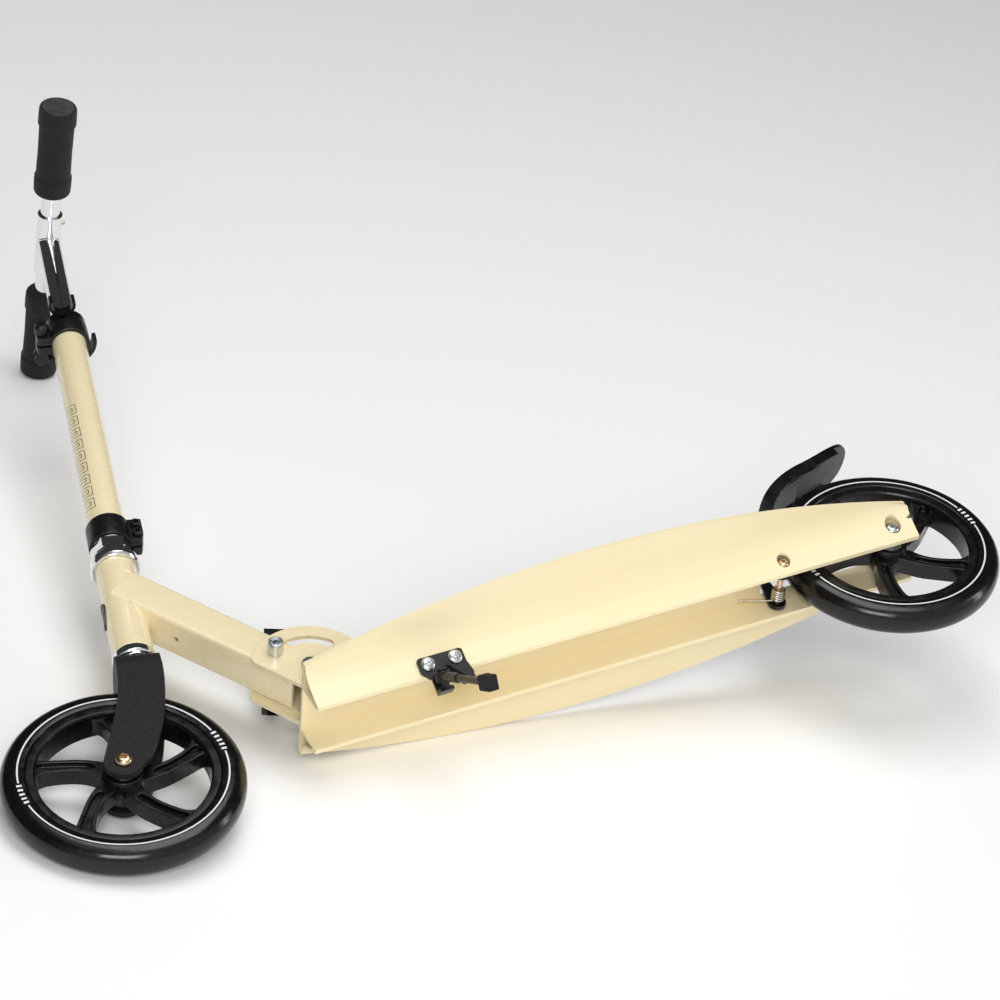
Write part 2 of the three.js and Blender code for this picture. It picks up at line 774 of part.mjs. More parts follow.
function frontFrameSolid() {
  const length = downTubeLength;
  const wide = tubeHalfWidth;
  const deep = tubeHalfDepth;
  const beam = alongDownTube(block(0, length, -wide, wide, -deep, deep));
  const end = moved(alongY(rod(deep, -wide, wide, 24)), pivotX, 0, pivotZ);
  const head = alongSteering(rod(headTubeRadius, headTubeBottom, headTubeTop, 22));
  const hollowWide = wide - tubeWall;
  const hollowDeep = deep - tubeWall;
  const hollow = alongDownTube(block(-40, length - 18, -hollowWide, hollowWide, -hollowDeep, hollowDeep));
  const mouth = alongDownTube(block(-40, 6, -hollowWide, hollowWide, -deep - 2, 0));
  const bore = alongSteering(rod(headTubeRadius - headTubeWall, headTubeBottom - 9, headTubeTop + 9, 22));
  const pivotBore = moved(alongY(rod(pivotRadius + fit, -40, 40)), pivotX, 0, pivotZ);
  const pinHole = moved(alongY(rod(pinRadius + fit, -40, 40)), ...pinPlace());
  const ventHole = alongDownTube(moved(rod(ventRadius, -deep - 9, -hollowDeep + 9, 12), ventPlace, 0, 0));
  const tube = cut(union(beam, end), cut(hollow, head), mouth);
  return cut(union(tube, head), bore, pivotBore, pinHole, ventHole);
}

function badgeSolid() {
  const shell = ring(headTubeRadius + fit, headTubeRadius + 1.3, badgeMiddle - 23, badgeMiddle + 19, 22);
  const shape = new THREE.Shape();
  shape.absarc(0, badgeMiddle + 6, badgeHalfWidth, 0, Math.PI, false);
  shape.lineTo(-badgeHalfWidth, badgeMiddle);
  shape.lineTo(0, badgeMiddle - 17);
  shape.lineTo(badgeHalfWidth, badgeMiddle);
  return alongSteering(shell.intersect(crossPlate(shape, 2, 40, 10)));
}

function lowerCupSolid() {
  const inner = steererRadius + fit;
  const spigot = headTubeRadius - headTubeWall - fit;
  return turned(
    [
      [inner, crownTop + fit],
      [lowerCupRadius - 2, crownTop + fit],
      [lowerCupRadius, crownTop + 4],
      [lowerCupRadius, headTubeBottom - fit],
      [spigot, headTubeBottom - fit],
      [spigot, headTubeBottom + cupSpigot - 1],
      [inner, headTubeBottom + cupSpigot - 1],
      [inner, crownTop + fit],
    ],
    22,
  );
}

function upperCupSolid() {
  const inner = steererRadius + fit;
  const spigot = headTubeRadius - headTubeWall - fit;
  const base = headTubeTop + fit;
  return turned(
    [
      [inner, base - cupSpigot],
      [spigot, base - cupSpigot],
      [spigot, base],
      [upperCupRadius - 1.5, base],
      [upperCupRadius, base + 2.5],
      [upperCupRadius, base + upperCupHeight - 2.5],
      [upperCupRadius - 2.5, base + upperCupHeight],
      [inner, base + upperCupHeight],
      [inner, base - cupSpigot],
    ],
    22,
  );
}

function locknutSolid() {
  const inner = steererRadius + fit;
  const base = headTubeTop + fit + upperCupHeight + 0.4;
  const washer = ring(inner, washerRadius, base, base + washerHeight, 22);
  const hex = hexagon(nutRadius, base + washerHeight - 0.5, columnBottom - 1.2);
  const bore = rod(inner, base - 1, columnBottom + 5, 22);
  return cut(union(washer, hex), bore);
}

// ---- steering column pieces, in the steering group ----
function forkLegShape() {
  const shape = new THREE.Shape();
  shape.moveTo(-19, 115);
  shape.lineTo(19.5, 115);
  shape.bezierCurveTo(20, 72, 33, 42, 44.6, 2);
  shape.absarc(forkOffset, 0, 16.3, 0.1, -Math.PI + 0.35, true);
  shape.bezierCurveTo(2, 4, -18, 50, -19, 115);
  return shape;
}

function forkSolid() {
  const shape = forkLegShape();
  const left = sidePlate(shape, legInner, legOuter, 7);
  const right = sidePlate(shape, -legOuter, -legInner, 7);
  const arch = new THREE.Shape();
  arch.moveTo(-legOuter, crownBottom);
  arch.lineTo(legOuter, crownBottom);
  arch.lineTo(legOuter, 115);
  arch.quadraticCurveTo(legOuter, crownTop, 8, crownTop);
  arch.lineTo(-8, crownTop);
  arch.quadraticCurveTo(-legOuter, crownTop, -legOuter, 115);
  arch.lineTo(-legOuter, crownBottom);
  const crown = crossPlate(arch, -18.6, 19.2, 6);
  const steerer = rod(steererRadius, crownTop - 3, steererTop, 22);
  const bore = rod(stemRadius + 0.5, crownBottom + 12, steererTop + 5, 20);
  const axle = moved(alongY(rod(axleRadius + fit, -60, 60)), forkOffset, 0, 0);
  return cut(union(left, right, crown, steerer), bore, axle);
}

// A band round the steering tube with a slit lug reaching out to one side of the axis.
function slitCollar(outer, from, to, lugReach, slitHalf, side) {
  const inner = columnRadius + fit;
  const reach = (x0, x1) => [Math.min(side * x0, side * x1), Math.max(side * x0, side * x1)];
  const lug = block(...reach(0, lugReach), -lugHalfWidth, lugHalfWidth, from, to);
  const slit = block(...reach(5, lugReach + 5), -slitHalf, slitHalf, from - 1, to + 1);
  return cut(union(rod(outer, from, to, 22), lug), rod(inner, from - 1, to + 1, 22), slit);
}

function clampCollarSolid() {
  const collar = slitCollar(lowerClampRadius, lowerClampBottom, lowerClampTop, lowerLugReach, 1, -1);
  const hole = alongY(rod(clampBoltRadius + fit, -20, 20, 16));
  const holes = clampBoltHeights.map((height) => moved(hole, clampBoltX, 0, height));
  return cut(collar, ...holes);
}

function clampBoltSolid() {
  const seat = lugHalfWidth + fit;
  const shank = rod(clampBoltRadius, -seat - 1.7, seat, 20);
  const head = rod(clampBoltRadius + 1.7, seat, seat + 4, 20);
  return alongY(cut(union(shank, head), hexagon(2.2, seat + 1.7, seat + 9)));
}

function topClampSolid() {
  const collar = slitCollar(topClampRadius, topClampBottom, topClampTop, topLugReach, 1.2, 1);
  const hole = moved(alongY(rod(skewerRadius + fit, -20, 20, 16)), skewerX, 0, topClampMiddle);
  return cut(collar, hole);
}

function clampSkewerSolid() {
  const seat = lugHalfWidth + fit;
  const shank = rod(skewerRadius, topLeverPivotY - 1, seat + 0.2, 16);
  const nut = turned([[0, seat], [6.6, seat], [6.6, 17], [4.5, 20.5], [0, 20.5]], 16);
  return moved(alongY(union(shank, nut)), skewerX, 0, topClampMiddle);
}

// The slot in a quick-release cam that its pin turns through: the pin comes from +y when the
// lever is closed and lies towards +x once it has swung open.
function camSlot(pinHalf, reach, swing) {
  const shape = new THREE.Shape();
  shape.moveTo(-pinHalf, reach);
  shape.lineTo(-pinHalf, 0);
  shape.absarc(0, 0, pinHalf, -Math.PI, -swing, false);
  shape.lineTo(
    pinHalf * Math.cos(swing) + reach * Math.sin(swing),
    -pinHalf * Math.sin(swing) + reach * Math.cos(swing),
  );
  shape.lineTo(reach, reach);
  shape.lineTo(-pinHalf, reach);
  return planPlate(shape, -pinHalf, pinHalf, 8);
}

function topLeverSolid() {
  const cam = moved(rod(topCamRadius, -topLeverHalf, topLeverHalf, 24), skewerX, topLeverPivotY, 0);
  const shape = new THREE.Shape();
  const start = -0.75;
  const end = -Math.PI - 0.05;
  shape.absarc(0, 0, topLeverOuter, start, end, true);
  shape.absarc(0, 0, topLeverInner, end, start, false);
  const handle = planPlate(shape, -topLeverHalf, topLeverHalf, 14);
  const slot = moved(camSlot(skewerRadius + 0.7, 12, topLeverSwing), skewerX, topLeverPivotY, 0);
  return moved(cut(union(cam, handle), slot), 0, 0, topClampMiddle);
}

// One moulded band with an open clip on each side for a stowed grip bar.
function barClipSolid() {
  const band = ring(columnRadius + fit, 19, clipBottom, clipTop, 22);
  const holders = [];
  const mouths = [];
  for (const side of [-1, 1]) {
    const near = side * (columnRadius + 1.5);
    const far = side * (clipCentre - barRadius - 1);
    holders.push(block(0, 8, Math.min(near, far), Math.max(near, far), clipBottom, clipTop));
    holders.push(moved(rod(clipOuter, clipBottom, clipTop, 16), clipForward, side * clipCentre, 0));
    const mouth = rod(barRadius + 0.4, clipBottom - 1, clipTop + 1, 16);
    mouths.push(moved(mouth, clipForward, side * clipCentre, 0));
    const lip = side * (clipCentre + 5);
    const out = side * 60;
    mouths.push(block(-12, 20, Math.min(lip, out), Math.max(lip, out), clipBottom - 1, clipTop + 1));
  }
  return cut(union(band, ...holders), ...mouths, rod(columnRadius + fit, clipBottom - 1, clipTop + 1, 22));
}

function stemBushingSolid() {
  const inner = stemRadius + fit;
  const outer = columnRadius - columnWall - fit;
  return turned(
    [
      [inner, columnTop - 45],
      [outer, columnTop - 45],
      [outer, columnTop + fit],
      [columnRadius, columnTop + fit],
      [columnRadius, columnTop + 17],
      [stemRadius + 2.5, columnTop + 18.5],
      [inner, columnTop + 18.5],
      [inner, columnTop - 45],
    ],
    22,
  );
}

// ---- handlebar ----

function stemTeeSolid() {
  const stem = rod(stemRadius, stemBottom, barHeight, 24);
  const sleeve = moved(alongY(rod(sleeveRadius, -sleeveHalfWidth, sleeveHalfWidth, 18)), 0, 0, barHeight);
  const stemBore = rod(stemRadius - stemWall, stemBottom - 5, barHeight - 13, 20);
  const sleeveBore = moved(alongY(rod(barRadius + fit, -50, 50, 20)), 0, 0, barHeight);
  const buttonHole = turnedTo(rod(buttonRadius + 0.35, 2, 30, 12), 0, -Math.PI / 2, 0);
  const holes = [-1, 1].map((side) => moved(buttonHole, 0, side * buttonPlace, barHeight));
  return cut(union(stem, sleeve), stemBore, sleeveBore, ...holes);
}

// A grip bar runs out along +y from the sleeve; the groove leaves room for the snap button.
function gripBarSolid() {
  const bar = rod(barRadius, 7, barHalfWidth - 4, 20);
  const bore = rod(barRadius - barWall, 5, barHalfWidth, 16);
  const solid = alongY(cut(bar, bore));
  const half = buttonRadius + 0.45;
  return cut(solid, block(-barRadius - 2, -barRadius + 4, 3, gripInnerEnd - 1, -half, half));
}

function gripSolid() {
  const inner = barRadius + fit;
  const end = barHalfWidth;
  const collar = gripRadius + gripCollar;
  return alongY(
    turned(
      [
        [0, end - 3.5],
        [inner, end - 3.5],
        [inner, gripInnerEnd],
        [gripRadius - 0.5, gripInnerEnd],
        [collar, gripInnerEnd + 2],
        [collar, gripInnerEnd + gripCollarLength],
        [gripRadius, gripInnerEnd + gripCollarLength + 2],
        [gripRadius, end - gripCollarLength - 2],
        [collar, end - gripCollarLength],
        [collar, end - 2],
        [gripRadius - 0.2, end],
        [0, end],
      ],
      20,
    ),
  );
}

function snapButtonSolid() {
  const profile = [[0, 8.4], [buttonRadius, 8.4], [buttonRadius, 13.4], [1.5, 14.6], [0, 14.9]];
  return turnedTo(turned(profile, 12), 0, -Math.PI / 2, 0);
}

// ---- fold lever, built about its cam: handle runs along +x, the plate lies towards +y ----
function foldLeverSolid() {
  const cam = rod(foldCamRadius, -foldCamHalf, foldCamHalf, 24);
  const tip = foldHandleLength;
  const handle = new THREE.Shape();
  handle.moveTo(0, 0);
  handle.lineTo(0, -foldCamRadius);
  handle.quadraticCurveTo(30, -7, tip - 2, 0);
  handle.lineTo(tip, 3.5);
  handle.lineTo(tip - 4, 5);
  handle.quadraticCurveTo(30, 0, 12, 3);
  handle.lineTo(0, 0);
  const arm = planPlate(handle, -foldHandleHalf, foldHandleHalf, 8);
  const slot = turnedTo(camSlot(pinRadius + 0.5, 20, foldLeverSwing), 0, Math.PI, 0);
  return cut(union(cam, arm), slot);
}

function foldPinSolid() {
  const seat = plateOuter + fit;
  const shank = rod(pinRadius, foldCamY + 0.6, plateOuter + 5, 16);
  const sleeve = rod(lockSleeveRadius, seat, plateOuter + lockSleeveLength, 20);
  const collar = rod(lockSleeveRadius, foldCamY + foldCamRadius + fit, -seat, 20);
  const socket = hexagon(3.4, plateOuter + 8, plateOuter + 20);
  return alongY(cut(union(shank, sleeve, collar), socket));
}

function pivotBoltSolid() {
  const seat = plateOuter + fit;
  const profile = [[0, -30], [pivotRadius, -30], [pivotRadius, seat], [8, seat], [7, 26.2], [0, 26.4]];
  return alongY(cut(turned(profile, 16), hexagon(2.6, 24.6, 40)));
}

// ---- assembly ----
function addDeck(parent) {
  const deck = makeGroup(parent, 'deck_group');
  deck.rotation.y = -deckPitch;
  addPiece(deck, 'deck_extrusion', deckSolid(), creamDeckPaint());
  addPiece(deck, 'grip_tape', gripTapeSolid(), gritTape());
  const seat = bladeInner + bladeWall;
  const nutEnd = seat + fit + 6;
  const axleBolt = buttonBolt(axleRadius, axleRecess - 0.8, 7.4, seat + fit, -nutEnd - 1);
  addPiece(deck, 'rear_axle_bolt', axleBolt, zincPlate());
  addPiece(deck, 'rear_axle_nut', hexNut(axleRadius, 7, -nutEnd, -seat - fit), zincPlate());
  const spacer = bladeInner - bossWidth / 2 - 2 * fit;
  const left = addPiece(deck, 'rear_spacer_left', spacerSolid(spacer), zincPlate());
  left.position.y = bossWidth / 2 + fit;
  const right = addPiece(deck, 'rear_spacer_right', spacerSolid(spacer), zincPlate());
  right.position.y = -bladeInner + fit;
  const rodSolid = buttonBolt(fenderRodRadius, rodRecess - 0.6, 5.8, seat + fit, -seat - 6);
  const fenderRod = addPiece(deck, 'fender_rod', rodSolid, zincPlate());
  fenderRod.position.set(fenderRodX, 0, fenderRodZ);
  const rodNut = hexNut(fenderRodRadius, 5.4, -seat - fit - 4.4, -seat - fit);
  const fenderRodNut = addPiece(deck, 'fender_rod_nut', rodNut, zincPlate());
  fenderRodNut.position.set(fenderRodX, 0, fenderRodZ);
  const spring = addPiece(deck, 'brake_return_spring', springSolid(), springSteel());
  spring.position.set(fenderRodX, -13, fenderRodZ);
  const kick = makeGroup(deck, 'kickstand_group');
  kick.position.set(kickX, kickY, kickZ);
  kick.rotation.x = kickSlope - Math.PI;
  addPiece(kick, 'kickstand_bracket', kickBracketSolid(), blackSatinPaint());
  addPiece(kick, 'kickstand_leg', kickLegSolid(), blackSatinPaint());
  addPiece(kick, 'kickstand_foot', kickFootSolid(), blackRubber());
  addPiece(kick, 'kickstand_spring', kickSpringSolid(), springSteel());
  for (const [label, side] of [['front', 1], ['rear', -1]]) {
    const solid = screwSolid(screwHeadRadius, screwLength);
    const screw = addPiece(kick, `kickstand_screw_${label}`, solid, zincPlate());
    screw.position.set((side * kickScrewGap) / 2, 0, kickPlate + 2 * fit);
  }
  return deck;
}

function farthestPoint(mesh, direction) {
  const position = mesh.geometry.attributes.position;
  const best = new THREE.Vector3();
  let reach = -Infinity;
  for (let i = 0; i < position.count; i += 1) {
    const point = new THREE.Vector3().fromBufferAttribute(position, i).applyMatrix4(mesh.matrixWorld);
    if (point.dot(direction) > reach) {
      reach = point.dot(direction);
      best.copy(point);
    }
  }
  return best;
}

// The direction towards the floor when three pieces of the right side touch it.
function floorDirection(scooter) {
  const touching = ['right_grip', 'front_axle_bolt', 'deck_extrusion'];
  scooter.updateMatrixWorld(true);
  const down = new THREE.Vector3(0, -1, 0);
  for (let round = 0; round < 6; round += 1) {
    const [a, b, c] = touching.map((name) => farthestPoint(scooter.getObjectByName(name), down));
    down.crossVectors(b.sub(a), c.sub(a)).normalize();
    if (down.y > 0) {
      down.negate();
    }
  }
  return down;
}

// Lays the scooter on its right side with its front towards -x and its top towards +y.
function layDown(scooter) {
  const down = floorDirection(scooter);
  const rollBack = new THREE.Quaternion().setFromAxisAngle(
    new THREE.Vector3(1, 0, 0),
    Math.atan2(-down.z, -down.y),
  );
  const lift = new THREE.Quaternion().setFromAxisAngle(
    new THREE.Vector3(0, 1, 0),
    -Math.atan2(down.x, Math.hypot(down.y, down.z)),
  );
  const flat = new THREE.Quaternion().setFromEuler(new THREE.Euler(Math.PI / 2, 0, Math.PI, 'ZYX'));
  scooter.quaternion.copy(lift).multiply(rollBack).multiply(flat);
  const bounds = new THREE.Box3().setFromObject(scooter, true);
  const centre = bounds.getCenter(new THREE.Vector3());
  scooter.position.set(-centre.x, -centre.y, -bounds.min.z);
}

function build() {
  const root = new THREE.Group();
  root.name = 'kick_scooter';
  const scooter = makeGroup(root, 'scooter_frame');
  const deck = addDeck(scooter);

  const rearWheel = makeGroup(deck, 'rear_wheel_group');
  addWheel(rearWheel, 'rear', THREE.MathUtils.degToRad(31 - 6));

  addPiece(deck, 'brake_fender', fenderSolid(), blackNylon());
  addPiece(deck, 'brake_friction_plate', brakePlateSolid(), zincPlate());

  const bracket = addPiece(scooter, 'fold_bracket', foldBracketSolid(), creamPaint());
  bracket.position.set(pivotX, 0, pivotZ);
  const pivotBolt = addPiece(scooter, 'fold_pivot_bolt', pivotBoltSolid(), zincPlate());
  pivotBolt.position.set(pivotX, 0, pivotZ);
  const nutSolid = hexNut(pivotRadius, 8, -plateOuter - 6, -plateOuter - fit);
  const pivotNut = addPiece(scooter, 'fold_pivot_nut', nutSolid, zincPlate());
  pivotNut.position.set(pivotX, 0, pivotZ);

  addPiece(scooter, 'front_frame', frontFrameSolid(), creamPaint());
  addPiece(scooter, 'head_badge', badgeSolid(), blackSatinPaint());
  const pin = addPiece(scooter, 'fold_lock_pin', foldPinSolid(), zincPlate());
  pin.position.set(...pinPlace());

  const lever = addPiece(scooter, 'fold_lever', foldLeverSolid(), blackSatinPaint());
  lever.position.set(pinPlace()[0], foldCamY, pinPlace()[2]);
  lever.rotation.y = -foldLeverAngle;

  const steering = makeGroup(scooter, 'steering_group');
  const base = steeringBase();
  steering.position.set(base.x, 0, base.z);
  steering.rotation.y = -headAngle;
  addPiece(steering, 'lower_headset_cup', lowerCupSolid(), chromePlate());
  addPiece(steering, 'upper_headset_cup', upperCupSolid(), chromePlate());
  addPiece(steering, 'fork', forkSolid(), blackTexturedPaint());
  addPiece(steering, 'headset_locknut', locknutSolid(), chromePlate());
  addPiece(steering, 'clamp_collar', clampCollarSolid(), blackSatinPaint());
  clampBoltHeights.forEach((height, index) => {
    const name = index === 0 ? 'clamp_bolt_lower' : 'clamp_bolt_upper';
    const bolt = addPiece(steering, name, clampBoltSolid(), blackSatinPaint());
    bolt.position.set(clampBoltX, 0, height);
  });
  const column = ring(columnRadius - columnWall, columnRadius, columnBottom, columnTop, 22);
  addPiece(steering, 'steering_tube', column, creamPaint());
  addPiece(steering, 'stem_bushing', stemBushingSolid(), blackNylon());
  addPiece(steering, 'top_clamp', topClampSolid(), blackSatinPaint());
  addPiece(steering, 'top_clamp_skewer', clampSkewerSolid(), blackSatinPaint());
  addPiece(steering, 'top_clamp_lever', topLeverSolid(), blackSatinPaint());
  addPiece(steering, 'bar_clip_ring', barClipSolid(), blackNylon());

  const axleGroup = makeGroup(steering, 'front_wheel_group');
  axleGroup.position.set(forkOffset, 0, 0);
  axleGroup.rotation.y = headAngle;
  addWheel(axleGroup, 'front', THREE.MathUtils.degToRad(0));
  const nutEnd = legOuter + fit + 6;
  const axleBolt = buttonBolt(axleRadius, 7.2, 4.8, legOuter + fit, -nutEnd - 1);
  addPiece(axleGroup, 'front_axle_bolt', axleBolt, brassPlate());
  addPiece(axleGroup, 'front_axle_nut', hexNut(axleRadius, 7.4, -nutEnd, -legOuter - fit), zincPlate());
  const spacer = legInner - bossWidth / 2 - 2 * fit;
  const left = addPiece(axleGroup, 'front_spacer_left', spacerSolid(spacer), zincPlate());
  left.position.y = bossWidth / 2 + fit;
  const right = addPiece(axleGroup, 'front_spacer_right', spacerSolid(spacer), zincPlate());
  right.position.y = -legInner + fit;

  const stem = makeGroup(steering, 'stem_group');
  stem.rotation.z = barTwist;
  addPiece(stem, 'stem_tee', stemTeeSolid(), chromePlate());
  for (const [label, side] of [['left', 1], ['right', -1]]) {
    const half = makeGroup(stem, `${label}_grip_group`);
    half.position.z = barHeight;
    half.rotation.x = side > 0 ? 0 : Math.PI;
    addPiece(half, `${label}_grip_bar`, gripBarSolid(), chromePlate());
    addPiece(half, `${label}_grip`, gripSolid(), gripFoam());
    const button = addPiece(half, `${label}_snap_button`, snapButtonSolid(), brassPlate());
    button.position.y = buttonPlace;
  }
  layDown(scooter);
  return root;
}

const group = build();
export default group;
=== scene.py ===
import json
import math

import bmesh
import bpy
from mathutils import Euler, Matrix, Vector


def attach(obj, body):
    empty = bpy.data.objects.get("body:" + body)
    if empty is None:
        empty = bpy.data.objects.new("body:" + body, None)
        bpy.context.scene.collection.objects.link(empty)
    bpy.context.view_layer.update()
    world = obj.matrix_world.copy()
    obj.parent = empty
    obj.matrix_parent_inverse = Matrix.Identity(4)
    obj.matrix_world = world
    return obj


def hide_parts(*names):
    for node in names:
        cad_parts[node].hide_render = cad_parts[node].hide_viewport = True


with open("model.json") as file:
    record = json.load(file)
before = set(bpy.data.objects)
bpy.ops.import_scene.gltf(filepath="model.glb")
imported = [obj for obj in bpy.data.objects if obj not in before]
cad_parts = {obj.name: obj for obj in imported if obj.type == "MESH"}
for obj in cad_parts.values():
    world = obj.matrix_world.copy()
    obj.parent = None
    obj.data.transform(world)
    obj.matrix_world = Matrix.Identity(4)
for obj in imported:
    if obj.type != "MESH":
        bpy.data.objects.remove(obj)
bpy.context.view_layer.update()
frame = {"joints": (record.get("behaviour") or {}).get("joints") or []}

# ---------------------------------------------------------------- frames, lengths in millimetres
HEAD_LEAN = math.radians(15.7)
DECK_PITCH = math.radians(0.75)
TUBE_ANGLE = math.radians(59)
FORK_OFFSET = 28.5
LEVER_ANGLE = math.radians(116)
BAR_HEIGHT = 763

joints = {joint["name"]: joint for joint in frame["joints"]}


def joint_axis(name):
    return Vector(joints[name]["axis"]).normalized()


def joint_place(name):
    return Vector(joints[name]["pos_m"])


def make_frame(origin, x, y, z):
    """Millimetres in a piece's own axes to metres in the row."""
    turn = Matrix((x, y, z)).transposed().to_4x4()
    return Matrix.Translation(origin) @ turn @ Matrix.Scale(0.001, 4)


LEFT = joint_axis("rear_wheel_spin")
STEER = joint_axis("steering_turn")
AHEAD = LEFT.cross(STEER)
FORWARD = AHEAD * math.cos(HEAD_LEAN) - STEER * math.sin(HEAD_LEAN)
UP = AHEAD * math.sin(HEAD_LEAN) + STEER * math.cos(HEAD_LEAN)
REAR_AXLE = joint_place("rear_wheel_spin")
FRONT_AXLE = joint_place("front_wheel_spin")

SCOOTER = make_frame(REAR_AXLE, FORWARD, LEFT, UP)
DECK_X = FORWARD * math.cos(DECK_PITCH) + UP * math.sin(DECK_PITCH)
DECK = make_frame(REAR_AXLE, DECK_X, LEFT, DECK_X.cross(LEFT))
FOLD = make_frame(joint_place("column_fold"), FORWARD, LEFT, UP)
TUBE_X = FORWARD * math.cos(TUBE_ANGLE) + UP * math.sin(TUBE_ANGLE)
DOWN_TUBE = make_frame(joint_place("column_fold"), TUBE_X, LEFT, TUBE_X.cross(LEFT))
COLUMN = make_frame(FRONT_AXLE - AHEAD * (FORK_OFFSET / 1000), AHEAD, LEFT, STEER)
FRONT_WHEEL = make_frame(FRONT_AXLE, FORWARD, LEFT, UP)
BAR_LEFT = joint_axis("left_bar_pull")
BAR_RIGHT = joint_axis("right_bar_pull")
STEM = make_frame(COLUMN.to_translation(), BAR_LEFT.cross(STEER), BAR_LEFT, STEER)
BAR_CENTRE = COLUMN @ Vector((0, 0, BAR_HEIGHT))
LEFT_BAR = make_frame(BAR_CENTRE, BAR_LEFT.cross(STEER), BAR_LEFT, STEER)
RIGHT_BAR = make_frame(BAR_CENTRE, BAR_RIGHT.cross(-STEER), BAR_RIGHT, -STEER)
FLARE_SLOPE = math.atan2(13.5, 7)
KICK = DECK @ Matrix.Translation((451.5, 30.2, -6.7)) @ Matrix.Rotation(FLARE_SLOPE - math.pi, 4, "X")
LEVER_X = FORWARD * math.cos(LEVER_ANGLE) + UP * math.sin(LEVER_ANGLE)
LEVER = make_frame(joint_place("fold_lever_open"), LEVER_X, LEFT, LEVER_X.cross(LEFT))


# ---------------------------------------------------------------- outlines
def rounded(points, steps=5):
    """Corners given as (a, b, radius) are rounded with arcs of that radius."""
    out = []
    count = len(points)
    for i, point in enumerate(points):
        here = Vector(point[:2])
        radius = point[2] if len(point) > 2 else 0
        if radius <= 0:
            out.append(here)
            continue
        before = (Vector(points[i - 1][:2]) - here).normalized()
        after = (Vector(points[(i + 1) % count][:2]) - here).normalized()
        half = before.angle(after) / 2
        reach = radius / math.tan(half)
        centre = here + (before + after).normalized() * (radius / math.sin(half))
        start = here + before * reach - centre
        end = here + after * reach - centre
        sweep = start.angle_signed(end)
        for k in range(steps + 1):
            turn = Matrix.Rotation(-sweep * k / steps, 2)
            out.append(centre + turn @ start)
    return [(p.x, p.y) for p in out]


def arc(centre, radius, start, end, steps=24):
    points = []
    for k in range(steps + 1):
        angle = start + (end - start) * k / steps
        points.append((centre[0] + radius * math.cos(angle), centre[1] + radius * math.sin(angle)))
    return points


def curve(p0, p1, p2, p3, steps=16):
    points = []
    for k in range(steps + 1):
        t = k / steps
        s = 1 - t
        points.append(tuple(
            s ** 3 * a + 3 * s * s * t * b + 3 * s * t * t * c + t ** 3 * d
            for a, b, c, d in zip(p0, p1, p2, p3)
        ))
    return points


def bend(p0, p1, p2, steps=12):
    c1 = tuple(a + (b - a) * 2 / 3 for a, b in zip(p0, p1))
    c2 = tuple(c + (b - c) * 2 / 3 for b, c in zip(p1, p2))
    return curve(p0, c1, c2, p2, steps)


def through(points, steps=6):
    """A smooth line through the points."""
    out = []
    last = len(points) - 1
    for i in range(last):
        p0 = Vector(points[max(i - 1, 0)])
        p1 = Vector(points[i])
        p2 = Vector(points[i + 1])
        p3 = Vector(points[min(i + 2, last)])
        for k in range(steps):
            t = k / steps
            out.append(tuple(0.5 * (2 * p1 + (p2 - p0) * t + (2 * p0 - 5 * p1 + 4 * p2 - p3) * t * t
                                    + (3 * p1 - p0 - 3 * p2 + p3) * t ** 3)))
    out.append(tuple(points[-1]))
    return out


# ---------------------------------------------------------------- solids
def lathe(profile, steps=64, axis="Z"):
    """Spins [radius, height] points about an axis into a closed solid."""
    bm = bmesh.new()
    verts = [bm.verts.new((r, 0, h)) for r, h in profile]
    edges = [bm.edges.new(pair) for pair in zip(verts, verts[1:])]
    if profile[0][0] > 1e-6 and profile[0] != profile[-1]:
        edges.append(bm.edges.new((verts[-1], verts[0])))
    bmesh.ops.spin(bm, geom=verts + edges, cent=(0, 0, 0), axis=(0, 0, 1), dvec=(0, 0, 0),
                   angle=2 * math.pi, steps=steps, use_merge=True)
    bmesh.ops.remove_doubles(bm, verts=bm.verts, dist=1e-4)
    if axis == "Y":
        bmesh.ops.rotate(bm, verts=bm.verts, cent=(0, 0, 0), matrix=Matrix.Rotation(-math.pi / 2, 3, "X"))
    bmesh.ops.recalc_face_normals(bm, faces=bm.faces)
    return bm


def rod(radius, low, high, steps=48, axis="Z", chamfer=0):
    if chamfer:
        profile = [(0, low), (radius - chamfer, low), (radius, low + chamfer), (radius, high - chamfer),
                   (radius - chamfer, high), (0, high)]
    else:
        profile = [(0, low), (radius, low), (radius, high), (0, high)]
    return lathe(profile, steps, axis)


def tube(inner, outer, low, high, steps=64, axis="Z", chamfer=0.3):
    c = chamfer
    profile = [(inner, low), (outer - c, low), (outer, low + c), (outer, high - c), (outer - c, high), (inner, high)]
    return lathe(profile, steps, axis)


def sheet_solid(points, low, high, plane="XZ"):
    """A flat outline given thickness square to its plane."""
    place = {"XZ": lambda a, b, t: (a, t, b), "XY": lambda a, b, t: (a, b, t), "YZ": lambda a, b, t: (t, a, b)}[plane]
    bm = bmesh.new()
    verts = [bm.verts.new(place(p[0], p[1], low)) for p in points]
    bmesh.ops.remove_doubles(bm, verts=verts, dist=1e-3)
    face = bm.faces.new(list(bm.verts))
    made = bmesh.ops.extrude_face_region(bm, geom=[face])
    top = [v for v in made["geom"] if isinstance(v, bmesh.types.BMVert)]
    shift = Vector(place(0, 0, high)) - Vector(place(0, 0, low))
    bmesh.ops.translate(bm, verts=top, vec=shift)
    bmesh.ops.recalc_face_normals(bm, faces=bm.faces)
    return bm


def box(x0, x1, y0, y1, z0, z1):
    bm = bmesh.new()
    bmesh.ops.create_cube(bm, size=1)
    bmesh.ops.scale(bm, verts=bm.verts, vec=(x1 - x0, y1 - y0, z1 - z0))
    bmesh.ops.translate(bm, verts=bm.verts, vec=((x0 + x1) / 2, (y0 + y1) / 2, (z0 + z1) / 2))
    return bm


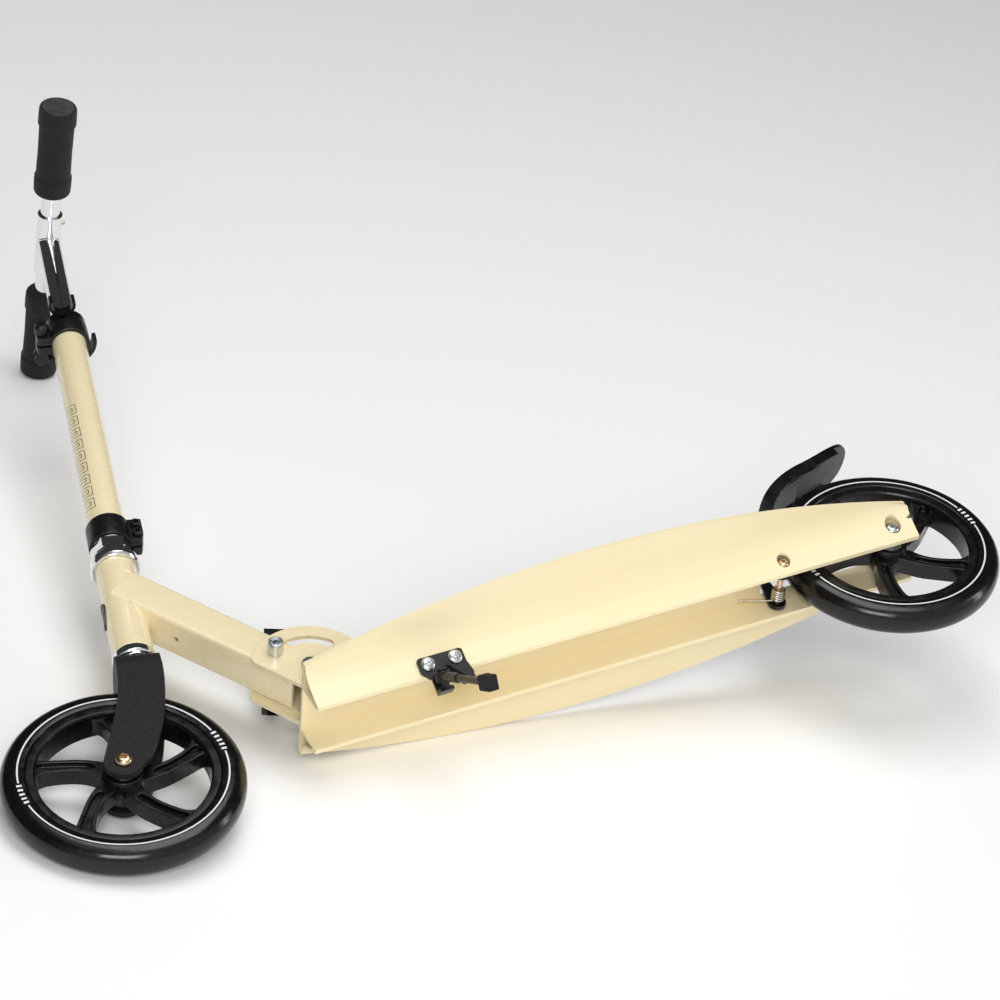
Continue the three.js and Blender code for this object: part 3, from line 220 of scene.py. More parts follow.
def prism(sides, radius, low, high, axis="Z"):
    points = arc((0, 0), radius, 0, 2 * math.pi * (sides - 1) / sides, sides - 1)
    bm = sheet_solid(points, low, high, "XY")
    if axis == "Y":
        bmesh.ops.rotate(bm, verts=bm.verts, cent=(0, 0, 0), matrix=Matrix.Rotation(-math.pi / 2, 3, "X"))
    return bm


def placed(bm, matrix):
    bmesh.ops.transform(bm, matrix=matrix, verts=bm.verts)
    return bm


def moved(bm, x, y, z):
    return placed(bm, Matrix.Translation((x, y, z)))


def along(bm, start, direction):
    """Carries a solid built about Z onto a line."""
    turn = Vector((0, 0, 1)).rotation_difference(Vector(direction)).to_matrix().to_4x4()
    return placed(bm, Matrix.Translation(start) @ turn)


def swept(points, radius, sides=12, closed_ends=True):
    """A round wire along points: one ring of vertices at each, bridged to the next."""
    bm = bmesh.new()
    rings = []
    side = None
    for i, point in enumerate(points):
        here = Vector(point)
        ahead = Vector(points[min(i + 1, len(points) - 1)]) - Vector(points[max(i - 1, 0)])
        ahead.normalize()
        if side is None:
            side = ahead.orthogonal().normalized()
        side = (side - ahead * side.dot(ahead)).normalized()
        other = ahead.cross(side)
        ring = []
        for k in range(sides):
            angle = 2 * math.pi * k / sides
            ring.append(bm.verts.new(here + (side * math.cos(angle) + other * math.sin(angle)) * radius))
        rings.append([bm.edges.new((ring[k], ring[(k + 1) % sides])) for k in range(sides)])
    for first, second in zip(rings, rings[1:]):
        bmesh.ops.bridge_loops(bm, edges=first + second)
    if closed_ends:
        bmesh.ops.holes_fill(bm, edges=rings[0] + rings[-1], sides=sides)
    bmesh.ops.recalc_face_normals(bm, faces=bm.faces)
    return bm


def together(*parts):
    """Several closed solids in one mesh."""
    bm = bmesh.new()
    for part in parts:
        mesh = bpy.data.meshes.new("part")
        part.to_mesh(mesh)
        part.free()
        bm.from_mesh(mesh)
        bpy.data.meshes.remove(mesh)
    return bm


def scratch(bm):
    mesh = bpy.data.meshes.new("scratch")
    bm.to_mesh(mesh)
    bm.free()
    thing = bpy.data.objects.new("scratch", mesh)
    bpy.context.collection.objects.link(thing)
    return thing


def joined(operation, body, *tools):
    """Adds, cuts or keeps the common part of solids."""
    base = scratch(body)
    others = [scratch(tool) for tool in tools]
    for other in others:
        step = base.modifiers.new("step", "BOOLEAN")
        step.operation = operation
        step.solver = "EXACT"
        step.object = other
    bpy.context.view_layer.update()
    graph = bpy.context.evaluated_depsgraph_get()
    mesh = bpy.data.meshes.new_from_object(base.evaluated_get(graph))
    bm = bmesh.new()
    bm.from_mesh(mesh)
    bpy.data.meshes.remove(mesh)
    for thing in [base] + others:
        data = thing.data
        bpy.data.objects.remove(thing)
        bpy.data.meshes.remove(data)
    bmesh.ops.remove_doubles(bm, verts=bm.verts, dist=1e-3)
    bmesh.ops.dissolve_degenerate(bm, dist=1e-3, edges=bm.edges)
    return bm


def cut(body, *tools):
    return joined("DIFFERENCE", body, *tools)


def merged(body, *tools):
    return joined("UNION", body, *tools)


def common(body, *tools):
    return joined("INTERSECT", body, *tools)


def piece(name, bm, where, finish, body, nodes, edge=0.35, segments=2, angle=32, subdivide=0):
    """Finishes a solid: puts it in the row, rounds its edges and hangs it on its body."""
    bmesh.ops.transform(bm, matrix=where, verts=bm.verts)
    if where.determinant() < 0:
        bmesh.ops.reverse_faces(bm, faces=bm.faces)
    for face in bm.faces:
        face.smooth = True
    mesh = bpy.data.meshes.new(name)
    if edge == 0:
        for line in bm.edges:
            if len(line.link_faces) == 2 and line.calc_face_angle(0) > math.radians(angle):
                line.smooth = False
    bm.to_mesh(mesh)
    bm.free()
    thing = bpy.data.objects.new(name, mesh)
    bpy.context.collection.objects.link(thing)
    if edge:
        soften = thing.modifiers.new("rounded_edges", "BEVEL")
        soften.width = edge / 1000
        soften.segments = segments
        soften.profile = 0.5
        soften.limit_method = "ANGLE"
        soften.angle_limit = math.radians(angle)
        soften.harden_normals = True
        soften.use_clamp_overlap = True
    if subdivide:
        finer = thing.modifiers.new("finer", "SUBSURF")
        finer.levels = subdivide
        finer.render_levels = subdivide
    material, slot = finish
    mesh.materials.append(material)
    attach(thing, body)
    if nodes:
        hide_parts(*([nodes] if isinstance(nodes, str) else nodes))
    return thing


# ---------------------------------------------------------------- finishes
class Recipe:
    """A material being mixed: its shader and the nodes that feed it."""

    def __init__(self, name, colour, roughness, metallic=0.0, **more):
        self.material = bpy.data.materials.new(name)
        self.material.use_nodes = True
        self.nodes = self.material.node_tree.nodes
        self.links = self.material.node_tree.links
        self.shader = self.nodes["Principled BSDF"]
        self.shader.inputs["Base Color"].default_value = (*colour, 1)
        self.shader.inputs["Roughness"].default_value = roughness
        self.shader.inputs["Metallic"].default_value = metallic
        for key, value in more.items():
            self.shader.inputs[key.replace("_", " ")].default_value = value
        self.colour = None
        self.height = None
        self.base = (*colour, 1)
        self.at = self.nodes.new("ShaderNodeTexCoord").outputs["Object"]

    def node(self, kind, **settings):
        node = self.nodes.new(kind)
        for key, value in settings.items():
            setattr(node, key, value)
        return node

    def number(self, operation, a, b=None, clamp=False):
        node = self.node("ShaderNodeMath", operation=operation, use_clamp=clamp)
        for socket, value in zip(node.inputs, (a, b)):
            if value is None:
                continue
            if isinstance(value, (int, float)):
                socket.default_value = value
            else:
                self.links.new(value, socket)
        return node.outputs[0]

    def noise(self, scale, detail=3.0, roughness=0.55, at=None):
        node = self.node("ShaderNodeTexNoise")
        node.inputs["Scale"].default_value = scale
        node.inputs["Detail"].default_value = detail
        node.inputs["Roughness"].default_value = roughness
        self.links.new(at or self.at, node.inputs["Vector"])
        return node.outputs["Fac"]

    def cells(self, scale, feature="F1", at=None):
        node = self.node("ShaderNodeTexVoronoi", feature=feature)
        node.inputs["Scale"].default_value = scale
        self.links.new(at or self.at, node.inputs["Vector"])
        return node.outputs["Distance"]

    def stretched(self, where, scale):
        """Coordinates in a piece's own axes, in metres, stretched for brushed or drawn marks."""
        inverse = (where @ Matrix.Scale(1000, 4)).inverted()
        turn = self.node("ShaderNodeMapping", vector_type="POINT")
        self.links.new(self.at, turn.inputs["Vector"])
        turn.inputs["Rotation"].default_value = inverse.to_euler()
        turn.inputs["Location"].default_value = inverse.to_translation()
        if scale == (1, 1, 1):
            return turn.outputs["Vector"]
        node = self.node("ShaderNodeMapping", vector_type="POINT")
        self.links.new(turn.outputs["Vector"], node.inputs["Vector"])
        node.inputs["Scale"].default_value = scale
        return node.outputs["Vector"]

    def ramp(self, value, low, high, from_low=0.0, from_high=1.0, smooth=True):
        node = self.node("ShaderNodeMapRange", clamp=True)
        node.interpolation_type = "SMOOTHSTEP" if smooth else "LINEAR"
        self.links.new(value, node.inputs["Value"])
        node.inputs["From Min"].default_value = from_low
        node.inputs["From Max"].default_value = from_high
        node.inputs["To Min"].default_value = low
        node.inputs["To Max"].default_value = high
        return node.outputs["Result"]

    def tint(self, amount, colour, blend="MIX"):
        """Lays a colour over what is there, by an amount between 0 and 1."""
        node = self.node("ShaderNodeMix", data_type="RGBA", blend_type=blend)
        if self.colour is None:
            node.inputs["A"].default_value = self.base
            for socket in node.inputs:
                if socket.type == "RGBA" and socket.name == "A":
                    socket.default_value = self.base
        else:
            for socket in node.inputs:
                if socket.type == "RGBA" and socket.name == "A":
                    self.links.new(self.colour, socket)
        for socket in node.inputs:
            if socket.type == "RGBA" and socket.name == "B":
                socket.default_value = (*colour, 1)
        self.links.new(amount, node.inputs["Factor"])
        self.colour = [s for s in node.outputs if s.type == "RGBA"][0]

    def raise_by(self, height, weight=1.0):
        scaled = self.number("MULTIPLY", height, weight)
        self.height = scaled if self.height is None else self.number("ADD", self.height, scaled)

    def rough(self, value, low, high, from_low=0.3, from_high=0.7):
        self.links.new(self.ramp(value, low, high, from_low, from_high), self.shader.inputs["Roughness"])

    def done(self, slot, bump=0.2, distance=0.0002):
        if self.colour is not None:
            self.links.new(self.colour, self.shader.inputs["Base Color"])
        if self.height is not None:
            node = self.node("ShaderNodeBump")
            node.inputs["Strength"].default_value = bump
            node.inputs["Distance"].default_value = distance
            self.links.new(self.height, node.inputs["Height"])
            self.links.new(node.outputs["Normal"], self.shader.inputs["Normal"])
        return (self.material, slot)


CREAM = (0.885, 0.765, 0.49)


def cream_enamel(name="cream_enamel", slot="cream_enamel", gloss=0.2, coat=0.7, recipe_only=False):
    mix = Recipe(name, CREAM, gloss, 0.0, Coat_Weight=coat, Coat_Roughness=gloss * 0.4)
    broad = mix.noise(5, 1)
    mix.tint(mix.ramp(broad, 0, 0.3, 0.4, 0.7), (0.85, 0.71, 0.43))
    dust = mix.noise(1100, 4, 0.7)
    mix.tint(mix.ramp(dust, 0, 0.2, 0.66, 0.8), (0.66, 0.54, 0.33))
    mix.rough(mix.noise(60, 4), gloss, gloss + 0.12)
    mix.raise_by(mix.noise(420, 3))
    mix.raise_by(mix.noise(90, 2), 0.6)
    return mix if recipe_only else mix.done(slot, 0.06, 0.0002)


def textured_black():
    mix = Recipe("black_textured_paint", (0.009, 0.009, 0.0095), 0.5, 0.0, Specular_IOR_Level=0.3)
    grain = mix.noise(1500, 5, 0.7)
    mix.tint(mix.ramp(grain, 0, 0.6, 0.5, 0.75), (0.028, 0.027, 0.026))
    spark = mix.cells(700)
    mix.tint(mix.ramp(spark, 0.85, 0, 0.04, 0.17), (0.3, 0.27, 0.22))
    mix.rough(grain, 0.42, 0.72)
    mix.raise_by(grain)
    mix.raise_by(mix.noise(600, 2), 0.8)
    return mix.done("black_textured_paint", 0.5, 0.0003)


def satin_black():
    mix = Recipe("black_satin_paint", (0.006, 0.006, 0.0065), 0.32, 0.0, Specular_IOR_Level=0.4)
    mix.rough(mix.noise(220, 5), 0.26, 0.45)
    scuffs = mix.noise(140, 6, 0.75)
    mix.tint(mix.ramp(scuffs, 0, 0.5, 0.62, 0.78), (0.03, 0.029, 0.028))
    mix.raise_by(mix.noise(900, 3))
    return mix.done("black_satin_paint", 0.12, 0.0001)


def chrome(where=None):
    mix = Recipe("chrome_plate", (0.82, 0.83, 0.85), 0.06, 1.0)
    drawn = mix.noise(60, 4, 0.6, mix.stretched(where or COLUMN, (14, 14, 1)))
    mix.rough(drawn, 0.035, 0.12)
    mix.tint(mix.ramp(mix.noise(35, 4), 0, 0.25, 0.55, 0.75), (0.62, 0.64, 0.68))
    mix.raise_by(mix.noise(160, 2))
    return mix.done("chrome_plate", 0.015, 0.0002)


def zinc():
    mix = Recipe("zinc_plate", (0.62, 0.65, 0.67), 0.24, 1.0)
    blotch = mix.noise(260, 4, 0.65)
    mix.tint(mix.ramp(blotch, 0, 0.6, 0.45, 0.75), (0.42, 0.47, 0.5))
    mix.tint(mix.ramp(mix.noise(90, 3), 0, 0.35, 0.55, 0.8), (0.66, 0.6, 0.42))
    mix.rough(blotch, 0.16, 0.38)
    mix.raise_by(mix.noise(1100, 3))
    return mix.done("zinc_plate", 0.12, 0.0001)


def shade_darkened_worn_steel():
    # The near-black base colour is painted shade for the plate under the fender, well below the zinc it really is; the
    # lighter drag streaks are wear.
    mix = Recipe("brake_plate_shade_darkened_steel", (0.1, 0.1, 0.105), 0.4, 1.0)
    drag = mix.noise(50, 5, 0.6, mix.stretched(DECK, (3, 40, 3)))
    mix.tint(mix.ramp(drag, 0, 0.6, 0.45, 0.7), (0.2, 0.2, 0.2))
    mix.rough(drag, 0.3, 0.55)
    mix.raise_by(drag)
    return mix.done("zinc_plate", 0.2, 0.0001)


def gold_zinc():
    mix = Recipe("brass_plate", (0.72, 0.56, 0.36), 0.22, 1.0)
    blotch = mix.noise(300, 4, 0.65)
    mix.tint(mix.ramp(blotch, 0, 0.6, 0.45, 0.75), (0.52, 0.4, 0.3))
    mix.rough(blotch, 0.14, 0.34)
    mix.raise_by(mix.noise(1000, 3))
    return mix.done("brass_plate", 0.1, 0.0001)


def spring_wire():
    mix = Recipe("spring_steel", (0.66, 0.62, 0.54), 0.26, 1.0)
    mix.tint(mix.ramp(mix.noise(380, 4), 0, 0.6, 0.45, 0.7), (0.44, 0.4, 0.33))
    mix.rough(mix.noise(500, 3), 0.18, 0.36)
    mix.raise_by(mix.noise(1400, 2))
    return mix.done("spring_steel", 0.1, 0.0001)


def nylon():
    mix = Recipe("black_nylon", (0.004, 0.004, 0.0045), 0.26, 0.0, Specular_IOR_Level=0.4)
    mix.rough(mix.noise(90, 5), 0.18, 0.36)
    mix.tint(mix.ramp(mix.noise(30, 3), 0, 0.5, 0.5, 0.75), (0.01, 0.01, 0.0105))
    mix.raise_by(mix.noise(1300, 4))
    mix.raise_by(mix.noise(120, 2), 0.5)
    return mix.done("black_nylon", 0.08, 0.0002)


def cap_plastic():
    mix = Recipe("grip_cap_plastic", (0.045, 0.045, 0.05), 0.35)
    mix.rough(mix.noise(120, 5), 0.25, 0.5)
    mix.tint(mix.ramp(mix.noise(70, 4), 0, 0.5, 0.5, 0.75), (0.08, 0.08, 0.09))
    mix.raise_by(mix.noise(700, 3))
    return mix.done("black_nylon", 0.15, 0.0002)


def grip_foam():
    mix = Recipe("black_foam", (0.012, 0.012, 0.012), 0.9, 0.0, Specular_IOR_Level=0.2, Sheen_Weight=0.08)
    pores = mix.cells(950)
    grain = mix.noise(1700, 6, 0.75)
    mix.tint(mix.ramp(grain, 0, 0.75, 0.45, 0.75), (0.055, 0.054, 0.052))
    mix.tint(mix.ramp(pores, 0.85, 0, 0.05, 0.3), (0.003, 0.003, 0.003))
    mix.raise_by(pores)
    mix.raise_by(grain, 0.6)
    return mix.done("black_foam", 0.7, 0.0004)


def black_rubber():
    mix = Recipe("black_rubber", (0.008, 0.008, 0.008), 0.7, 0.0, Specular_IOR_Level=0.3)
    grain = mix.noise(1200, 5)
    mix.tint(mix.ramp(grain, 0, 0.6, 0.45, 0.75), (0.02, 0.0195, 0.019))
    mix.rough(grain, 0.6, 0.85)
    mix.raise_by(grain)
    return mix.done("black_rubber", 0.3, 0.0002)


def grit_tape():
    mix = Recipe("black_grit_tape", (0.014, 0.014, 0.015), 0.85)
    grit = mix.cells(1300)
    mix.tint(mix.ramp(grit, 0.8, 0, 0.04, 0.3), (0.07, 0.07, 0.075))
    mix.rough(grit, 0.55, 0.95, 0.1, 0.5)
    mix.raise_by(mix.ramp(grit, 1, 0, 0.0, 0.6))
    mix.raise_by(mix.noise(2500, 3), 0.5)
    return mix.done("black_grit_tape", 0.8, 0.0005)


def tyre_finish(name, where, gaps):
    """Clear-cast black polyurethane with fine flecks and one printed white ring, broken by two runs of ticks."""
    mix = Recipe(name, (0.004, 0.004, 0.004), 0.14, 0.0, Specular_IOR_Level=0.4)
    own = mix.stretched(where, (1, 1, 1))
    split = mix.node("ShaderNodeSeparateXYZ")
    mix.links.new(own, split.inputs[0])
    x, y, z = split.outputs
    radius = mix.number("SQRT", mix.number("ADD", mix.number("MULTIPLY", x, x), mix.number("MULTIPLY", z, z)))
    turn = mix.number("ARCTAN2", z, mix.number("MULTIPLY", x, -1.0))
    flecks = mix.cells(420)
    mix.tint(mix.ramp(flecks, 0.6, 0, 0.02, 0.16), (0.12, 0.1, 0.08))
    mix.tint(mix.ramp(mix.noise(60, 3), 0, 0.5, 0.5, 0.8), (0.011, 0.01, 0.009))
    mix.rough(mix.noise(150, 4), 0.1, 0.26)
    line = mix.number("LESS_THAN", mix.number("ABSOLUTE", mix.number("SUBTRACT", radius, 0.0852)), 0.0007)
    band = mix.number("LESS_THAN", mix.number("ABSOLUTE", mix.number("SUBTRACT", radius, 0.0852)), 0.0022)
    for middle in gaps:
        away = mix.number("SUBTRACT", turn, math.radians(middle))
        wrapped = mix.number("ABSOLUTE", mix.number("ARCTAN2", mix.number("SINE", away), mix.number("COSINE", away)))
        inside = mix.number("LESS_THAN", wrapped, math.radians(9))
        ticks = mix.number("GREATER_THAN", mix.number("COSINE", mix.number("MULTIPLY", away, 360 / 3.4)), 0.1)
        near = mix.number("LESS_THAN", wrapped, math.radians(7.7))
        mark = mix.number("MULTIPLY", mix.number("MULTIPLY", ticks, near), band)
        line = mix.number("ADD", mix.number("MULTIPLY", line, mix.number("SUBTRACT", 1.0, inside)), mark, clamp=True)
    mix.tint(line, (0.8, 0.82, 0.84))
    mix.raise_by(mix.noise(260, 3))
    return mix.done("black_polyurethane", 0.04, 0.0002)


def column_finish():
    """The enamel with a thin printed row of open slanted frames along the front of the tube."""
    mix = cream_enamel("cream_enamel_column", recipe_only=True)
    own = mix.stretched(COLUMN, (1, 1, 1))
    split = mix.node("ShaderNodeSeparateXYZ")
    mix.links.new(own, split.inputs[0])
    x, y, z = split.outputs
    around = mix.number("MULTIPLY", mix.number("SUBTRACT", mix.number("ARCTAN2", y, x), 0.55), 16.0)
    height = mix.number("MULTIPLY", z, 1000.0)
    slant = mix.number("ADD", height, mix.number("MULTIPLY", around, 0.35))
    phase = mix.number("SUBTRACT", mix.number("MODULO", mix.number("SUBTRACT", slant, 320.0), 17.0), 8.5)
    wide = mix.number("ABSOLUTE", phase)
    tall = mix.number("ABSOLUTE", around)
    outer = mix.number("MULTIPLY", mix.number("LESS_THAN", wide, 6.6), mix.number("LESS_THAN", tall, 8.0))
    inner = mix.number("MULTIPLY", mix.number("LESS_THAN", wide, 5.7), mix.number("LESS_THAN", tall, 7.1))
    hole = mix.number("MULTIPLY", mix.number("LESS_THAN", wide, 2.6), mix.number("LESS_THAN", tall, 4.4))
    core = mix.number("MULTIPLY", mix.number("LESS_THAN", wide, 1.7), mix.number("LESS_THAN", tall, 3.5))
    lines = mix.number("ADD", mix.number("SUBTRACT", outer, inner), mix.number("SUBTRACT", hole, core))
    middle = mix.number("ABSOLUTE", mix.number("SUBTRACT", height, 413.0))
    lines = mix.number("MULTIPLY", lines, mix.number("LESS_THAN", middle, 76.5))
    mix.tint(mix.number("MULTIPLY", lines, 0.85), (0.05, 0.045, 0.04))
    return mix.done("cream_enamel", 0.06, 0.0002)


ENAMEL = cream_enamel()
DECK_ENAMEL = cream_enamel("cream_deck_enamel", "cream_deck_enamel", 0.36, 0.25)
COLUMN_ENAMEL = column_finish()
TEXTURED = textured_black()
SATIN = satin_black()
CHROME = chrome()
ZINC = zinc()
SHADE_DARKENED_WORN = shade_darkened_worn_steel()
GOLD = gold_zinc()
GOLD_ZINC = (GOLD[0], "zinc_plate")
SPRING = spring_wire()
NYLON = nylon()
CAP = cap_plastic()
FOAM = grip_foam()
RUBBER = black_rubber()
GRIT = grit_tape()


# ---------------------------------------------------------------- wheels
def make_tyre(label, where, gaps):
    half = [(79.0, 12.4), (79.8, 13.5), (81.5, 13.8), (84, 14.0), (87.5, 14.0), (91.5, 13.2), (95.4, 11.0),
            (98.2, 7.6), (99.6, 3.8)]
    side = through(half + [(100.0, 0.0)], 4)
    profile = side + [(r, -y) for r, y in reversed(side[:-1])]
    bm = lathe(profile, 144, "Y")
    finish = tyre_finish(label + "_tyre_polyurethane", where, gaps)
    piece(label + "_tyre_ring", bm, where, finish, label + "_wheel", label + "_tyre", edge=0, angle=50)


def spoke_line(start, steps=24):
    """Middle line of one curved spoke, each row a point, the way across and how far along it is."""
    middle = []
    for radius, lean in ((13, -17), (34, -8), (55, 0.5), (74, 6)):
        angle = start + math.radians(lean)
        middle.append((-radius * math.cos(angle), radius * math.sin(angle)))
    line = through(middle, steps // 3)
    rows = []
    for i, point in enumerate(line):
        ahead = Vector(line[min(i + 1, len(line) - 1)]) - Vector(line[max(i - 1, 0)])
        rows.append((Vector(point), Vector((-ahead.y, ahead.x)).normalized(), i / (len(line) - 1)))
    return rows


def spoke_solid(start):
    """One spoke: a deep bar that flares into the rim, with a round-ended channel let into each face."""
    left, right, channel = [], [], []
    near, far = 0.2, 0.93
    for point, side, share in spoke_line(start):
        half = 6.4 + 2.6 * (2 * share - 1) ** 2 + 5.5 * max(0, (share - 0.8) / 0.2) ** 2
        left.append(point + side * half)
        right.append(point - side * half)
        if near < share < far:
            t = (share - near) / (far - near)
            taper = math.sqrt(max(0.0, 1 - max(0, (0.22 - t) / 0.22) ** 2)) * math.sqrt(max(0.0, 1 - max(0, (t - 0.85) / 0.15) ** 2))
            channel.append((point, side, max(0.4, (half - 3.1 - 4 * max(0, (share - 0.8) / 0.2) ** 2) * taper)))
    hollow = [p + s * h for p, s, h in channel] + [p - s * h for p, s, h in reversed(channel)]
    body = sheet_solid(left + right[::-1], -8, 8)
    return cut(body, sheet_solid(hollow, 3.2, 9), sheet_solid(hollow, -9, -3.2))


def make_hub(label, where, start):
    rim = lathe(rounded([(78.7, 12.5, 0.4), (72.4, 12.5, 0.8), (71, 10.5, 2), (70.4, 0), (71, -10.5, 2),
                         (72.4, -12.5, 0.8), (78.7, -12.5, 0.4)]), 144, "Y")
    boss = lathe(rounded([(11.3, 13, 0.3), (15.5, 13, 1), (17, 9, 2), (18.5, 3, 2), (18.5, -3, 2), (17, -9, 2),
                          (15.5, -13, 1), (11.3, -13, 0.3)]), 96, "Y")
    spokes = [spoke_solid(start + 2 * math.pi * k / 5) for k in range(5)]
    piece(label + "_wheel_hub", together(rim, boss, *spokes), where, NYLON, label + "_wheel", label + "_hub",
          edge=1.0, segments=3)


def make_bearing(label, side, where):
    y = 9.5 * side
    race = lathe([(4.3, y - 3.5), (6.2, y - 3.5), (6.4, y - 3), (9.3, y - 3), (9.5, y - 3.5), (11, y - 3.5),
                  (11, y + 3.5), (9.5, y + 3.5), (9.3, y + 3), (6.4, y + 3), (6.2, y + 3.5), (4.3, y + 3.5)], 48, "Y")
    name = "left" if side > 0 else "right"
    piece(label + "_ball_race_" + name, race, where, ZINC, label + "_wheel", label + "_bearing_" + name, edge=0.15)


def make_wheel(label, where, start, gaps):
    make_tyre(label, where, gaps)
    make_hub(label, where, start)
    for side in (1, -1):
        make_bearing(label, side, where)


def button_head(shank, head, height, face, end, socket=None):
    """A socket button head bolt along Y, its head on the left."""
    socket = socket or head * 0.38
    dome = bend((head, face + height * 0.35), (head * 0.86, face + height), (head * 0.4, face + height), 8)
    profile = [(0, end), (shank - 0.5, end), (shank, end + 0.5), (shank, face), (head * 0.97, face), (head, face + 0.3)]
    profile += dome + [(0, face + height)]
    bolt = lathe(profile, 48, "Y")
    recess = prism(6, socket, face + height * 0.3, face + height + 3, "Y")
    return cut(bolt, recess)


def nut(bore, radius, low, high, axis="Y"):
    blank = prism(6, radius, low, high, axis)
    flat = radius * math.cos(math.pi / 6)
    dress = lathe([(0, low - 1), (flat - 0.4, low - 1), (flat, low), (radius + 0.5, low + (radius - flat) * 0.7),
                   (radius + 0.5, high - (radius - flat) * 0.7), (flat, high), (flat - 0.4, high + 1), (0, high + 1)],
                  48, axis)
    return cut(common(blank, dress), rod(bore, low - 2, high + 2, 32, axis))


make_wheel("rear", DECK, math.radians(25), (3, 183))
make_wheel("front", FRONT_WHEEL, 0, (1, 176))

piece("front_axle_button_bolt", button_head(4, 7.2, 4.8, 24.3, -31.3), FRONT_WHEEL, GOLD, "steering",
      "front_axle_bolt", edge=0.25)
piece("front_axle_hex_nut", nut(4.3, 7.4, -30.3, -24.3), FRONT_WHEEL, ZINC, "steering", "front_axle_nut", edge=0.2)
rear_bolt = together(button_head(4, 6.6, 4.2, 28, -31.9), tube(4.3, 6.8, 24.9, 27.8, 48, "Y"))
piece("rear_axle_button_bolt", rear_bolt, DECK, ZINC, "deck", "rear_axle_bolt", edge=0.25)
piece("rear_axle_hex_nut", nut(4.3, 7, -30.9, -24.9), DECK, ZINC, "deck", "rear_axle_nut", edge=0.2)
ROD = DECK @ Matrix.Translation((115, 0, -3.5))
rod_bolt = together(button_head(2.5, 5.4, 3.4, 27.3, -30.6), tube(2.8, 5.6, 24.9, 27.1, 40, "Y"))
piece("fender_rod_bolt", rod_bolt, ROD, GOLD_ZINC, "deck", "fender_rod", edge=0.2)
piece("fender_rod_hex_nut", nut(2.8, 5.4, -29.3, -24.9), ROD, ZINC, "deck", "fender_rod_nut", edge=0.2)
for where, body, end, reach, names in (
    (DECK, "deck", 13.3, 21.7, ("rear_spacer_left", "rear_spacer_right")),
    (FRONT_WHEEL, "steering", 13.3, 18.5, ("front_spacer_left", "front_spacer_right")),
):
    piece(names[0] + "_tube", tube(4.3, 6.5, end, reach, 40, "Y"), where, ZINC, body, names[0], edge=0)
    piece(names[1] + "_tube", tube(4.3, 6.5, -reach, -end, 40, "Y"), where, ZINC, body, names[1], edge=0)


# ---------------------------------------------------------------- deck
DECK_LOW = -14.8
DECK_TOP = 17.2


def flare_line(steps=18):
    points = [(26.0, 0.0)] + bend((33, 13.5), (38.5, 26.5), (54, 27.8), steps)
    return points


def deck_section(side):
    points = [(0, 32), (0, 29), (22, 29), (22, 0)] + flare_line() + [(89, 28.4), (89, 32)]
    return [(side * y, z + DECK_LOW) for y, z in points]


def deck_cell(side):
    line = flare_line()[1:]
    inner = []
    for (y0, z0), (y1, z1) in zip(line, line[1:]):
        long = math.hypot(y1 - y0, z1 - z0)
        y, z = y0 - (z1 - z0) / long * 2.4, z0 + (y1 - y0) / long * 2.4
        if z < 28.6 and y > 24.9:
            inner.append((y, z))
    points = [(24.6, 29), (24.6, 5)] + inner + [(inner[-1][0] + 1.5, 29)]
    return [(side * y, z + DECK_LOW) for y, z in points]


def deck_plan(inset, rear, front, steps=56):
    right = []
    for k in range(steps + 1):
        x = rear + (front - rear) * k / steps
        right.append((x, -(88 - (x - 288) ** 2 / 2040 - inset)))
    return right + [(x, -y) for x, y in reversed(right)]


def make_deck():
    sections = []
    for side in (1, -1):
        profile = sheet_solid(deck_section(side), -30, 580, "YZ")
        sections.append(cut(profile, sheet_solid(deck_cell(side), -40, 590, "YZ")))
    whole = merged(*sections)
    plan = sheet_solid(deck_plan(0, -20, 568), -30, 40, "XY")
    shaped = common(whole, plan)
    tools = [box(-40, 122, -22, 22, 0, 60), rod(4.3, -99, 99, 32, "Y"),
             moved(rod(2.8, -99, 99, 32, "Y"), 115, 0, -3.5)]
    for side in (1, -1):
        low, high = (25, 60) if side > 0 else (-60, -25)
        tools.append(rod(7.6, low, high, 48, "Y"))
        tools.append(moved(rod(6.2, low, high, 40, "Y"), 115, 0, -3.5))
        near, far = sorted((side * 30, side * 41))
        tools.append(box(-24, -16, near, far, 1.5, 4.5))
        tools.append(placed(rod(2.3, -9, 9, 24), Matrix.Translation((451.5 + side * 12.5, 30.2, -6.7))
                            @ Matrix.Rotation(FLARE_SLOPE - math.pi, 4, "X")))
    deck = cut(shaped, *tools)
    piece("deck_profile", deck, DECK, DECK_ENAMEL, "deck", "deck_extrusion", edge=0.3, segments=2, angle=40)


make_deck()
tape = cut(sheet_solid(deck_plan(7, 4, 486, 40), DECK_TOP + 0.1, DECK_TOP + 1, "XY"), box(-50, 130, -26, 26, 0, 60))
piece("grip_tape_sheet", tape, DECK, GRIT, "deck", "grip_tape", edge=0.2, segments=1)


